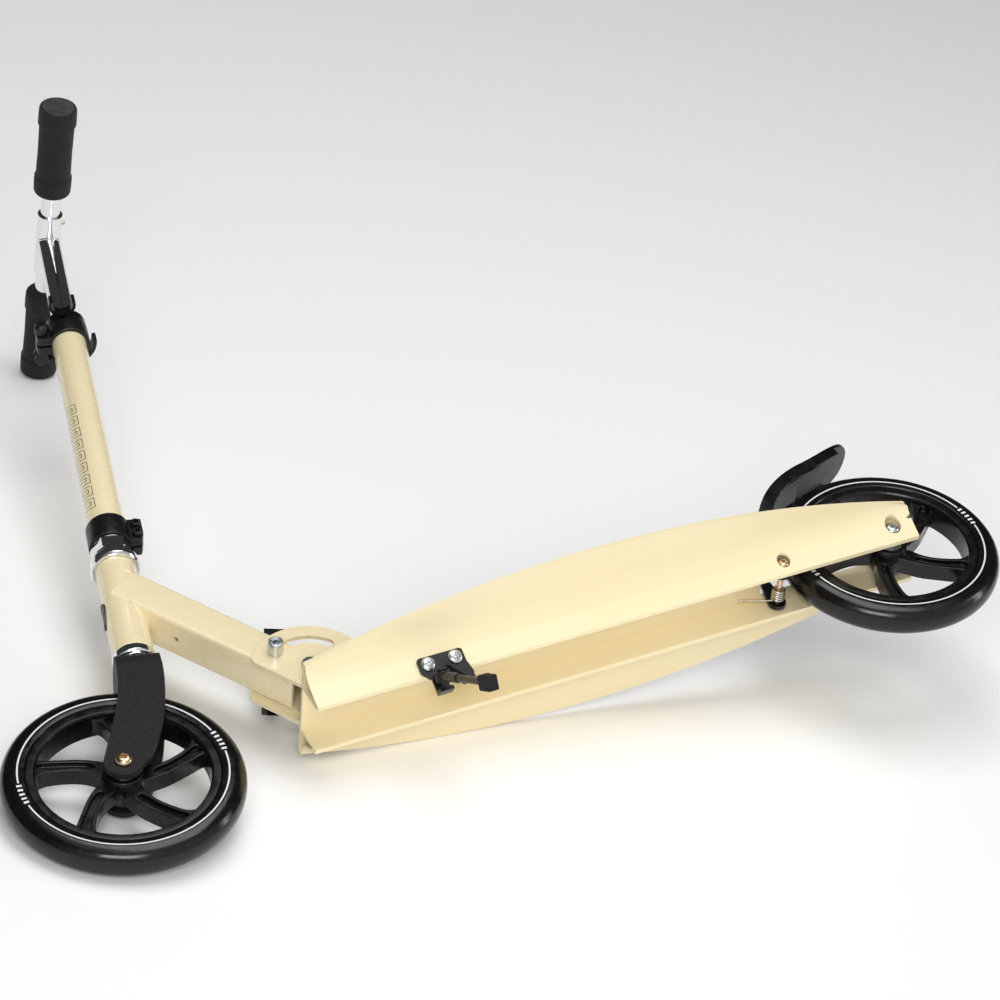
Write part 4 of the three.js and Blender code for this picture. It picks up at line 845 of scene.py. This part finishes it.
# ---------------------------------------------------------------- fold joint
def make_fold_bracket():
    drop = 46 - (DECK_TOP + 549 * math.tan(DECK_PITCH) + 0.3)
    front = 24.5
    along_tube = Vector((math.cos(TUBE_ANGLE), math.sin(TUBE_ANGLE)))
    across = Vector((along_tube.y, -along_tube.x))
    reach = math.sqrt(50 ** 2 - front ** 2)
    top = across * front + along_tube * (reach - 4)
    start = math.atan2(top.y, top.x) + 0.1
    end = math.pi + math.asin(drop / 50)
    foot = across * front + along_tube * ((-drop - across.y * front) / along_tube.y)
    shape = [tuple(foot), tuple(top)] + arc((0, 0), 50, start, end, 48)
    plates = [sheet_solid(shape, 18.9, 22.6), sheet_solid(shape, -22.6, -18.9)]
    base = box(-44, 16, -22.6, 22.6, -drop, 3 - drop)
    body = merged(plates[0], base, plates[1])
    first = math.radians(52) - 0.02
    last = math.radians(142)
    at = lambda angle: (33 * math.cos(angle), 33 * math.sin(angle))
    slot = arc((0, 0), 37.6, first, last, 32) + arc(at(last), 4.6, last, last + math.pi, 12)[1:]
    slot += arc((0, 0), 28.4, last, first, 32)[1:] + arc(at(first), 4.6, first + math.pi, first + 2 * math.pi, 12)[1:-1]
    under = placed(box(-90, 90, -60, 60, -drop - 20, -drop), Matrix.Rotation(-DECK_PITCH, 4, "Y"))
    body = cut(body, sheet_solid(slot, -40, 40), rod(4.3, -40, 40, 40, "Y"), under)
    piece("fold_bracket_plates", body, FOLD, ENAMEL, "deck", "fold_bracket", edge=0.45, segments=3, angle=40)


make_fold_bracket()
pivot = lathe(rounded([(0, -30), (3.5, -30), (4, -29.5), (4, 22.9), (8, 22.9, 0.2), (7.4, 26.2, 1), (0, 26.4)]), 48, "Y")
piece("fold_pivot_screw", cut(pivot, prism(6, 2.6, 24.2, 40, "Y")), FOLD, ZINC, "deck", "fold_pivot_bolt", edge=0.2)
piece("fold_pivot_hex_nut", nut(4.3, 8, -28.6, -22.9), FOLD, ZINC, "deck", "fold_pivot_nut", edge=0.2)

PIN = FOLD @ Matrix.Translation((33 * math.cos(math.radians(52)), 0, 33 * math.sin(math.radians(52))))
sleeve = lathe(rounded([(0, 22.9), (6.3, 22.9, 0.3), (6.3, 35.6, 0.7), (4.9, 35.6), (4.7, 34.6), (0, 34.6)]), 48, "Y")
collar = rod(6.3, -28.2, -22.9, 48, "Y", 0.4)
pin = merged(sleeve, collar, rod(4, -36.4, 27.6, 32, "Y"))
piece("fold_lock_pin_sleeve", cut(pin, prism(6, 3.1, 30, 44, "Y")), PIN, ZINC, "front_frame", "fold_lock_pin",
      edge=0.25)


def make_front_frame():
    wide, deep = 18.5, 17.5
    section = rounded([(-wide, -deep, 3.5), (wide, -deep, 3.5), (wide, deep, 3.5), (-wide, deep, 3.5)], 6)
    beam = sheet_solid(section, 0, 193, "YZ")
    end = rod(deep, -wide + 0.02, wide - 0.02, 64, "Y")
    tube_body = merged(beam, end)
    inside = rounded([(-16, -15, 2), (16, -15, 2), (16, 15, 2), (-16, 15, 2)], 4)
    hollow = sheet_solid(inside, -40, 150, "YZ")
    mouth = box(-40, 6, -16, 16, -deep - 2, 0)
    vent = moved(rod(2.5, -deep - 9, -6, 24), 124, 0, 0)
    tube_body = cut(tube_body, hollow, mouth, vent, rod(4.3, -40, 40, 32, "Y"))
    turn = Matrix.Translation((0, 0, 0)) @ (FOLD.inverted() @ DOWN_TUBE)
    placed(tube_body, turn)
    head = rod(18, 148, 262, 96, "Z", 0.5)
    placed(head, FOLD.inverted() @ COLUMN)
    bore = placed(rod(15.8, 139, 271, 64), FOLD.inverted() @ COLUMN)
    pin_hole = moved(rod(4.3, -40, 40, 32, "Y"), 33 * math.cos(math.radians(52)), 0, 33 * math.sin(math.radians(52)))
    frame_body = cut(merged(head, tube_body), bore, pin_hole)
    piece("front_frame_tubes", frame_body, FOLD, ENAMEL, "front_frame", "front_frame", edge=0.6, segments=3, angle=40)


make_front_frame()


def weld_bead():
    """The bead where the down tube's square end meets the round head tube."""
    to_column = COLUMN.inverted() @ DOWN_TUBE
    points = []
    outline = rounded([(-18.3, -17.3, 3.5), (18.3, -17.3, 3.5), (18.3, 17.3, 3.5), (-18.3, 17.3, 3.5)], 6)
    dense = []
    for (a, b), (c, d) in zip(outline, outline[1:] + outline[:1]):
        steps = max(1, int(math.hypot(c - a, d - b) / 1.6))
        dense += [(a + (c - a) * k / steps, b + (d - b) * k / steps) for k in range(steps)]
    for y, z in dense:
        spot = to_column @ Vector((0, y, z))
        way = (to_column @ Vector((1, y, z))) - spot
        if abs(spot.y) < 17.6:
            reach = (-math.sqrt(18.1 ** 2 - spot.y ** 2) - spot.x) / way.x
            points.append(spot + way * reach)
    parts = []
    for point in points:
        bead = bmesh.new()
        bmesh.ops.create_uvsphere(bead, u_segments=10, v_segments=6, radius=1.5)
        placed(bead, Matrix.Translation(point))
        parts.append(bead)
    return together(*parts)


piece("head_weld_bead", weld_bead(), COLUMN, ENAMEL, "front_frame", None, edge=0)


def make_badge():
    shell = tube(18.3, 19.3, 180, 222, 96, "Z", 0.1)
    shape = arc((0, 209), 8, 0, math.pi, 24) + bend((-8, 209), (-7.6, 196), (0, 186), 10)[1:] \
        + bend((0, 186), (7.6, 196), (8, 209), 10)[1:-1]
    badge = common(shell, sheet_solid(shape, 2, 40, "YZ"))
    inner = [(y * 0.78, 203 + (z - 203) * 0.78) for y, z in shape]
    frame_cut = common(tube(19.1, 20.5, 180, 222, 96, "Z", 0.1), sheet_solid(inner, 2, 40, "YZ"))
    piece("head_tube_badge", cut(badge, frame_cut), COLUMN, SATIN, "front_frame", "head_badge", edge=0.1, segments=1)


make_badge()

lower = rounded([(14, 136.3), (17, 136.3, 0.5), (17.2, 138.6), (18.2, 139.2), (19, 140.2, 0.6), (19, 146.6, 0.8),
                 (18.3, 147.7), (15.5, 147.7), (15.5, 157), (14, 157)])
piece("lower_headset_race", lathe(lower, 96), COLUMN, CHROME, "front_frame", "lower_headset_cup", edge=0)
upper = rounded([(14, 252.3), (15.5, 252.3), (15.5, 262.3), (20.5, 262.3, 0.4), (22, 264.6, 1.2), (22, 270.4, 1.4),
                 (20.2, 273.4, 0.8), (14, 273.8)])
piece("upper_headset_race", lathe(upper, 96), COLUMN, CHROME, "front_frame", "upper_headset_cup", edge=0)


# ---------------------------------------------------------------- steering pieces
def fork_outline():
    points = [(-19, 115), (19.5, 115)]
    points += curve((19.5, 115), (20, 72), (33, 42), (44.6, 2), 24)[1:]
    points += arc((28.5, 0), 16.3, 0.1, -math.pi + 0.35, 32)
    points += curve((13.2, -5.6), (2, 4), (-18, 50), (-19, 115), 24)[1:-1]
    return points


def make_fork():
    shape = fork_outline()
    plates = [sheet_solid(shape, 18.8, 24), sheet_solid(shape, -24, -18.8)]
    arch = [(-24, 103.5), (24, 103.5), (24, 115)] + bend((24, 115), (24, 136), (8, 136), 14)[1:] \
        + bend((-8, 136), (-24, 136), (-24, 115), 14)
    crown = sheet_solid(arch, -18.6, 19.2, "YZ")
    steerer = rod(13.7, 130, 334, 64)
    body = merged(crown, *plates, steerer)
    rims = []
    body = cut(body, rod(12, 115.5, 340, 48), moved(rod(4.3, -60, 60, 40, "Y"), 28.5, 0, 0), *rims)
    piece("fork_legs_and_crown", body, COLUMN, TEXTURED, "steering", "fork", edge=0.9, segments=3, angle=40)


make_fork()
hexed = common(prism(6, 19.2, 277.6, 291.8), lathe([(0, 277), (17.5, 277), (19.8, 279.4), (19.8, 290), (17.2, 292), (0, 292)], 72))
washer = tube(14, 18.4, 274.2, 278.4, 72, "Z", 0.5)
piece("headset_lock_nut", cut(merged(hexed, washer), rod(14, 270, 300, 64)), COLUMN, CHROME, "steering",
      "headset_locknut", edge=0.3)


def make_clamp_collar():
    band = lathe(rounded([(10, 293.5), (19.4, 293.5, 0.8), (19.4, 320, 0.8), (10, 320)]), 96)
    ear = rounded([(0, 293.5), (0, 320), (-29, 320, 1.5), (-29, 300, 1), (-27, 293.5, 1)], 5)
    lug = sheet_solid(ear, -9.5, 9.5)
    slit = box(-34, -5, -1, 1, 290, 324)
    body = cut(merged(band, lug), rod(16.3, 290, 324, 96), slit)
    for height in (300, 312):
        body = cut(body, moved(rod(2.8, -20, 20, 24, "Y"), -23.5, 0, height), moved(rod(4.6, 8.6, 20, 32, "Y"), -23.5, 0, height))
    piece("lower_clamp_collar", body, COLUMN, SATIN, "steering", "clamp_collar", edge=0.5, segments=3, angle=40)
    for height, node in ((300, "clamp_bolt_lower"), (312, "clamp_bolt_upper")):
        screw = lathe(rounded([(0, -11.5), (2.5, -11.5), (2.5, 9.8), (4.2, 9.8), (4.2, 13.8, 0.5), (0, 13.8)]), 32, "Y")
        screw = cut(screw, prism(6, 2.2, 11, 20, "Y"))
        piece(node + "_socket_screw", moved(screw, -23.5, 0, height), COLUMN, SATIN, "steering", node, edge=0.15)


make_clamp_collar()
piece("steering_tube_shell", lathe(rounded([(14.3, 293), (16, 293, 0.3), (16, 608, 0.3), (14.3, 608)]), 96), COLUMN,
      COLUMN_ENAMEL, "steering", "steering_tube", edge=0)
bushing = rounded([(11.8, 563), (14, 563), (14, 608.3), (16, 608.3, 0.3), (16, 625, 0.8), (14, 626.5, 0.5), (11.8, 626.5)])
piece("stem_guide_bushing", lathe(bushing, 72), COLUMN, NYLON, "steering", "stem_bushing", edge=0)


def cam_slot(half, reach):
    """Room in a cam for its pin, from the closed lever to one swung open by 110 degrees towards +x."""
    swing = math.radians(110)
    points = [(-half, reach)] + arc((0, 0), half, -math.pi, -swing, 12)
    points.append((half * math.cos(swing) + reach * math.sin(swing), reach * math.cos(swing) - half * math.sin(swing)))
    return sheet_solid(points + [(reach, reach)], -half, half, "XY")


def make_top_clamp():
    band = lathe(rounded([(10, 593), (19.6, 593, 1), (19.6, 611, 1), (10, 611)]), 96)
    ear = sheet_solid(rounded([(0, 593), (30, 593, 4), (30, 611, 4), (0, 611)], 6), -9.5, 9.5)
    body = cut(merged(band, ear), rod(16.3, 590, 614, 96), box(5, 35, -1.2, 1.2, 590, 614),
               moved(rod(2.8, -20, 20, 24, "Y"), 25, 0, 602))
    piece("upper_clamp_band", body, COLUMN, SATIN, "steering", "top_clamp", edge=0.5, segments=3, angle=40)
    shank = rod(2.5, -17.5, 10, 24, "Y")
    knurl = lathe(rounded([(0, 9.8), (6.6, 9.8, 0.5), (6.6, 17, 0.8), (4.5, 20.5, 1), (0, 20.5)]), 48, "Y")
    notches = [placed(rod(0.8, 9, 18, 12, "Y"), Matrix.Rotation(2 * math.pi * k / 12, 4, "Y") @ Matrix.Translation((7, 0, 0)))
               for k in range(12)]
    piece("upper_clamp_skewer", moved(cut(merged(shank, knurl), *notches), 25, 0, 602), COLUMN, SATIN, "steering",
          "top_clamp_skewer", edge=0.2)
    cam = moved(rod(6.8, -6.5, 6.5, 48, "Z", 0.6), 25, -16.5, 0)
    handle = arc((0, 0), 26.2, -0.75, -math.pi - 0.05, 40) + arc((0, 0), 22.6, -math.pi - 0.05, -0.75, 40)
    lever = merged(cam, sheet_solid(handle, -6.5, 6.5, "XY"))
    lever = cut(lever, moved(cam_slot(3.2, 12), 25, -16.5, 0))
    piece("upper_clamp_handle", moved(lever, 0, 0, 602), COLUMN, SATIN, "top_clamp_lever", "top_clamp_lever",
          edge=0.7, segments=3, angle=40)


make_top_clamp()


def make_bar_clips():
    band = rod(19, 613.4, 624, 72, "Z", 0.4)
    parts = []
    cuts = [rod(16.3, 612, 626, 72)]
    for side in (1, -1):
        near, far = sorted((side * 17.5, side * 20.5))
        parts.append(box(0, 8, near, far, 613.4, 624))
        parts.append(moved(rod(12.8, 613.4, 624, 64, "Z", 0.4), 4, side * 31, 0))
        cuts.append(moved(rod(9.9, 612, 626, 64), 4, side * 31, 0))
        near, far = sorted((side * 36, side * 60))
        cuts.append(box(-12, 20, near, far, 612, 626))
    piece("grip_bar_clips", cut(merged(band, *parts), *cuts), COLUMN, NYLON, "steering", "bar_clip_ring",
          edge=0.8, segments=3, angle=40)


make_bar_clips()


# ---------------------------------------------------------------- handlebar
def make_handlebar():
    stem = rod(11.5, 346, 763, 72)
    sleeve = moved(rod(11.9, -33, 33, 72, "Y", 0.4), 0, 0, 763)
    body = cut(merged(stem, sleeve), rod(10, 340, 750, 48), moved(rod(9.8, -50, 50, 64, "Y"), 0, 0, 763))
    for side in (1, -1):
        hole = placed(rod(2.6, 2, 30, 24), Matrix.Translation((0, side * 22, 763)) @ Matrix.Rotation(-math.pi / 2, 4, "Y"))
        body = cut(body, hole)
    piece("stem_and_sleeve", body, STEM, CHROME, "stem", "stem_tee", edge=0.3, angle=40)
    points = []
    for k in range(72):
        angle = 2 * math.pi * k / 72
        x, y = 11.6 * math.cos(angle), 11.6 * math.sin(angle)
        drop = math.sqrt(max(11.9 ** 2 - x * x, 0))
        points.append((x, y, 763 - drop))
    points.append(points[0])
    piece("stem_weld_bead", swept(points, 1.0, 10, False), STEM, CHROME, "stem", None, edge=0)
    for label, where in (("left", LEFT_BAR), ("right", RIGHT_BAR)):
        bar = cut(rod(9.5, 7, 151, 64, "Y", 0.3), rod(7.9, 5, 155, 48, "Y"), box(-11.5, -5.5, 3, 57, -2.7, 2.7))
        piece(label + "_bar_tube", bar, where, CHROME, label + "_bar", label + "_grip_bar", edge=0.2)
        profile = [(9.8, 58, 0.3), (15.6, 58, 0.4), (17.6, 60.5, 2), (18, 68, 3), (18, 76.8, 0.8), (17, 77.6, 0.4),
                   (16.7, 79.2, 1), (16.4, 106, 30), (16.8, 133.6, 1), (17.1, 135.2, 0.4), (18.2, 136, 0.8),
                   (18.2, 144, 3), (17.9, 152.6, 2), (16.9, 154.2, 0.8), (15.6, 154.2), (15.4, 153.4, 0.2),
                   (0, 153.4)]
        outer = rounded(profile[1:-1], 4)
        grip = lathe([(0, 151.5), (9.8, 151.5), (9.8, 58)] + outer + [(0, 153.4)], 96, "Y")
        piece(label + "_foam_grip", grip, where, FOAM, label + "_bar", label + "_grip", edge=0, angle=70)
        cap = lathe([(0, 153.2), (14.9, 153.2), (15.2, 153.6), (15.2, 154.4), (14.9, 154.9), (9, 155), (0, 154.6)], 72, "Y")
        piece(label + "_grip_cap", cap, where, CAP, label + "_bar", None, edge=0)
        button = lathe([(0, 8.4), (2.25, 8.4), (2.25, 13)] + bend((2.25, 13), (2.2, 14.8), (0, 14.9), 6)[1:], 32)
        placed(button, Matrix.Translation((0, 22, 0)) @ Matrix.Rotation(-math.pi / 2, 4, "Y"))
        piece(label + "_snap_pin", button, where, GOLD, label + "_button", label + "_snap_button", edge=0)


make_handlebar()


# ---------------------------------------------------------------- fold lever
def make_fold_lever():
    cam = rod(8.5, -9.5, 9.5, 48, "Z", 0.8)
    handle = [(0, 0), (0, -8.5)] + bend((0, -8.5), (30, -7), (93, 0), 16)[1:] + [(95, 3.5), (91, 5)] \
        + bend((91, 5), (30, 0), (12, 3), 16)[1:]
    body = merged(cam, sheet_solid(handle, -9.3, 9.3, "XY"))
    body = cut(body, placed(cam_slot(4.5, 20), Matrix.Rotation(math.pi, 4, "Y")))
    piece("fold_lever_handle", body, LEVER, SATIN, "fold_lever", "fold_lever", edge=0.9, segments=3, angle=40)


make_fold_lever()


# ---------------------------------------------------------------- brake fender
def fender_band(inner, outer, first, last):
    start, end = math.radians(first), math.radians(last)
    top = (outer * math.cos(end), outer * math.sin(end))
    low = (inner * math.cos(end), inner * math.sin(end))
    points = arc((0, 0), outer, start, end, 30)
    points += bend(top, (top[0] - 30, top[1] + 6), (-38, top[1] + 24), 18)[1:]
    points += bend((-39, low[1] + 24), (low[0] - 30, low[1] + 6), low, 18)
    points += arc((0, 0), inner, end, start, 30)[1:]
    return points


def make_fender():
    shell = sheet_solid(fender_band(115.5, 119, 16, 76), -25, 25)
    skirts = [sheet_solid(fender_band(107.5, 118.5, 24, 76), 22, 25), sheet_solid(fender_band(107.5, 118.5, 24, 76), -25, -22)]
    half = [(130, 19), (112, 19)] + bend((112, 19), (100, 24.8), (60, 24.9), 12)[1:] + [(10, 24.9)] \
        + curve((10, 24.9), (-22, 24.9), (-38.5, 17), (-38.8, 0), 18)[1:]
    plan = [(x, -y) for x, y in half] + [(x, y) for x, y in reversed(half[:-1])]
    shell = common(merged(shell, *skirts), sheet_solid(plan, 0, 180, "XY"))
    arm = arc((115, -3.5), 8, -math.pi, 0.15, 24)
    arm += [(119 * math.cos(0.36), 119 * math.sin(0.36)), (115.5 * math.cos(0.36), 115.5 * math.sin(0.36)), (107, -3.5)]
    body = merged(shell, sheet_solid(arm, 15.4, 18.9), sheet_solid(arm, -18.9, -15.4))
    body = cut(body, moved(rod(2.8, -60, 60, 32, "Y"), 115, 0, -3.5))
    piece("brake_fender_shell", body, DECK, NYLON, "brake", "brake_fender", edge=1.0, segments=3, angle=38)
    pad = arc((0, 0), 115.2, math.radians(56), math.radians(75), 20) + arc((0, 0), 112.9, math.radians(75), math.radians(56), 20)
    piece("brake_steel_plate", sheet_solid(pad, -13, 13), DECK, SHADE_DARKENED_WORN, "brake", "brake_friction_plate", edge=0.3)


make_fender()


def make_brake_spring():
    points = []
    for k in range(13):
        out = 1 - k / 13
        points.append((5.2 + 28 * out, 0, 12 * out))
    turns, length, per_turn = 5, 12, 28
    for k in range(turns * per_turn + 1):
        angle = 2 * math.pi * k / per_turn
        points.append((5.2 * math.cos(angle), length * k / (turns * per_turn), 5.2 * math.sin(angle)))
    wire = swept(points, 0.85, 12)
    piece("brake_torsion_spring", wire, ROD @ Matrix.Translation((0, -13, 0)), SPRING, "deck", "brake_return_spring",
          edge=0)


make_brake_spring()


# ---------------------------------------------------------------- kickstand
KICK_PIVOT = Vector((7.5, 15.5, 11))
LEG_DOWN = Vector((-0.044, 0.462, 0.886)).normalized()
PIN_WAY = Vector((0, -LEG_DOWN.z, LEG_DOWN.y)).normalized()


def make_kickstand():
    plate = rounded([(-21, -7, 3), (21, -7, 3), (21, 6, 2), (15, 13, 2), (-2, 13, 2), (-12, 25, 2), (-22, 23, 2),
                     (-24, 16, 2), (-21, 5, 2)], 5)
    body = sheet_solid(plate, 0.3, 2.9, "XY")
    parts = [box(-21, -15, 21.5, 24, 0.3, 9), box(1, 14, 5, 28, 0.3, 2.9), box(1, 14, 24.6, 28, 0.3, 9.5),
             along(rod(3, -12.4, 7.4, 32), KICK_PIVOT, PIN_WAY), along(rod(4.6, 5.4, 7.4, 32, "Z", 0.5), KICK_PIVOT, PIN_WAY)]
    body = merged(body, *parts)
    body = cut(body, moved(rod(2.3, -1, 9, 24), 12.5, 0, 0), moved(rod(2.3, -1, 9, 24), -12.5, 0, 0))
    piece("kickstand_mount_plate", body, KICK, SATIN, "deck", "kickstand_bracket", edge=0.4, segments=2, angle=40)

    eye = along(tube(3.3, 6.4, -4.8, 4.8, 48, "Z", 0.5), KICK_PIVOT, PIN_WAY)
    sleeve = along(rod(4.3, 5, 30, 40, "Z", 0.6), KICK_PIVOT, LEG_DOWN)
    leg = along(rod(3.2, 20, 84, 40, "Z", 0.5), KICK_PIVOT, LEG_DOWN)
    bore = along(rod(3.3, -20, 20, 32), KICK_PIVOT, PIN_WAY)
    piece("kickstand_leg_bar", cut(merged(sleeve, eye, leg), bore), KICK, SATIN, "kickstand", "kickstand_leg", edge=0.3, angle=40)

    shoe = rounded([(-5.3, -6.6, 1.6), (5.3, -6.6, 1.6), (5.3, 6.6, 1.6), (-5.3, 6.6, 1.6)], 5)
    foot = cut(sheet_solid(shoe, 75, 91, "XY"), rod(3.5, 70, 84.3, 32))
    piece("kickstand_rubber_shoe", along(foot, KICK_PIVOT, LEG_DOWN), KICK, RUBBER, "kickstand", "kickstand_foot",
          edge=1.0, segments=4, angle=40)

    start, end = Vector((-1.5, 4.5, 4.8)), Vector((-15.5, 20.5, 4.8))
    run = (end - start).length
    coil = [(1.2 * math.cos(k / 14 * 2 * math.pi), 1.2 * math.sin(k / 14 * 2 * math.pi), run * k / (14 * 16))
            for k in range(14 * 16 + 1)]
    piece("kickstand_coil_spring", along(swept(coil, 0.42, 8), start, end - start), KICK, SATIN, "deck",
          "kickstand_spring", edge=0)

    for side, label in ((1, "front"), (-1, "rear")):
        dome = bend((6.2, 0.9), (5.2, 3.0), (0, 3.1), 10)
        screw = lathe([(0, -7), (1.6, -7), (2, -6.4), (2, 0), (6.0, 0), (6.2, 0.3)] + dome, 48)
        cross = [box(-3.3, 3.3, -0.75, 0.75, 1.3, 6), box(-0.75, 0.75, -3.3, 3.3, 1.3, 6)]
        screw = moved(cut(screw, *cross), side * 12.5, 0, 3.2)
        piece("kickstand_cross_screw_" + label, screw, KICK, ZINC, "deck", "kickstand_screw_" + label, edge=0.15)


make_kickstand()


# ---------------------------------------------------------------- floor, light and camera
def make_floor():
    bm = bmesh.new()
    bmesh.ops.create_grid(bm, x_segments=1, y_segments=1, size=6)
    bmesh.ops.translate(bm, verts=bm.verts, vec=(0, 0, -0.0005))
    mesh = bpy.data.meshes.new("studio_floor")
    bm.to_mesh(mesh)
    bm.free()
    floor = bpy.data.objects.new("studio_floor", mesh)
    bpy.context.collection.objects.link(floor)
    mix = Recipe("pale_floor", (0.98, 0.98, 0.98), 0.9)
    mesh.materials.append(mix.done("floor")[0])


def aim(thing, place, target):
    back = (Vector(place) - Vector(target)).normalized()
    right = Vector((0, 0, 1)).cross(back).normalized()
    turn = Matrix((right, back.cross(right), back)).transposed().to_4x4()
    thing.matrix_world = Matrix.Translation(place) @ turn


def soft_light(name, place, target, power, width, height):
    lamp = bpy.data.lights.new(name, "AREA")
    lamp.shape = "RECTANGLE"
    lamp.size = width
    lamp.size_y = height
    lamp.energy = power
    thing = bpy.data.objects.new(name, lamp)
    bpy.context.collection.objects.link(thing)
    aim(thing, place, target)


def make_light():
    """A dark studio with one wide panel overhead; smaller panels give the long highlights."""
    world = bpy.data.worlds.new("studio")
    bpy.context.scene.world = world
    world.use_nodes = True
    nodes, links = world.node_tree.nodes, world.node_tree.links
    way = nodes.new("ShaderNodeTexCoord")
    split = nodes.new("ShaderNodeSeparateXYZ")
    links.new(way.outputs["Generated"], split.inputs[0])
    total = nodes.new("ShaderNodeMath")
    bands = (("Z", 0.84, 0.97, 0.04, 0.8), ("Y", 0.05, -0.75, 0.0, 0.6))
    for socket, (side, low, high, dark, bright) in zip(total.inputs, bands):
        band = nodes.new("ShaderNodeMapRange")
        band.interpolation_type = "SMOOTHSTEP"
        links.new(split.outputs[side], band.inputs["Value"])
        band.inputs["From Min"].default_value = low
        band.inputs["From Max"].default_value = high
        band.inputs["To Min"].default_value = dark
        band.inputs["To Max"].default_value = bright
        links.new(band.outputs["Result"], socket)
    sky = nodes["Background"]
    sky.inputs["Color"].default_value = (1, 1, 1, 1)
    links.new(total.outputs[0], sky.inputs["Strength"])
    soft_light("overhead_panel", (0.1, 0.0, 2.5), (0, 0, 0), 27, 2.0, 1.4)
    soft_light("key_panel", (-1.5, -2.5, 1.9), (0, -0.1, 0.1), 44, 1.5, 1.1)
    soft_light("side_strip", (2.3, -1.3, 0.9), (0, -0.1, 0.1), 9, 0.35, 1.6)


def make_camera():
    lens = bpy.data.cameras.new("camera")
    lens.sensor_width = 36
    lens.lens = 128.16
    lens.clip_end = 100
    view = bpy.data.objects.new("camera", lens)
    bpy.context.collection.objects.link(view)
    across = Vector((-0.8805, 0.0729, -0.4685))
    away = Vector((-0.4063, -0.6252, 0.6664))
    turn = SCOOTER.to_3x3() * 1000
    right = (turn @ across).normalized()
    back = (turn @ -away).normalized()
    up = back.cross(right).normalized()
    right = up.cross(back)
    spin = Matrix((right, up, back)).transposed().to_4x4()
    view.matrix_world = Matrix.Translation(SCOOTER @ Vector((1582.1, 1996.5, -1925.6))) @ spin
    bpy.context.scene.camera = view


make_floor()
make_light()
make_camera()
bpy.context.scene.view_settings.view_transform = "Standard"
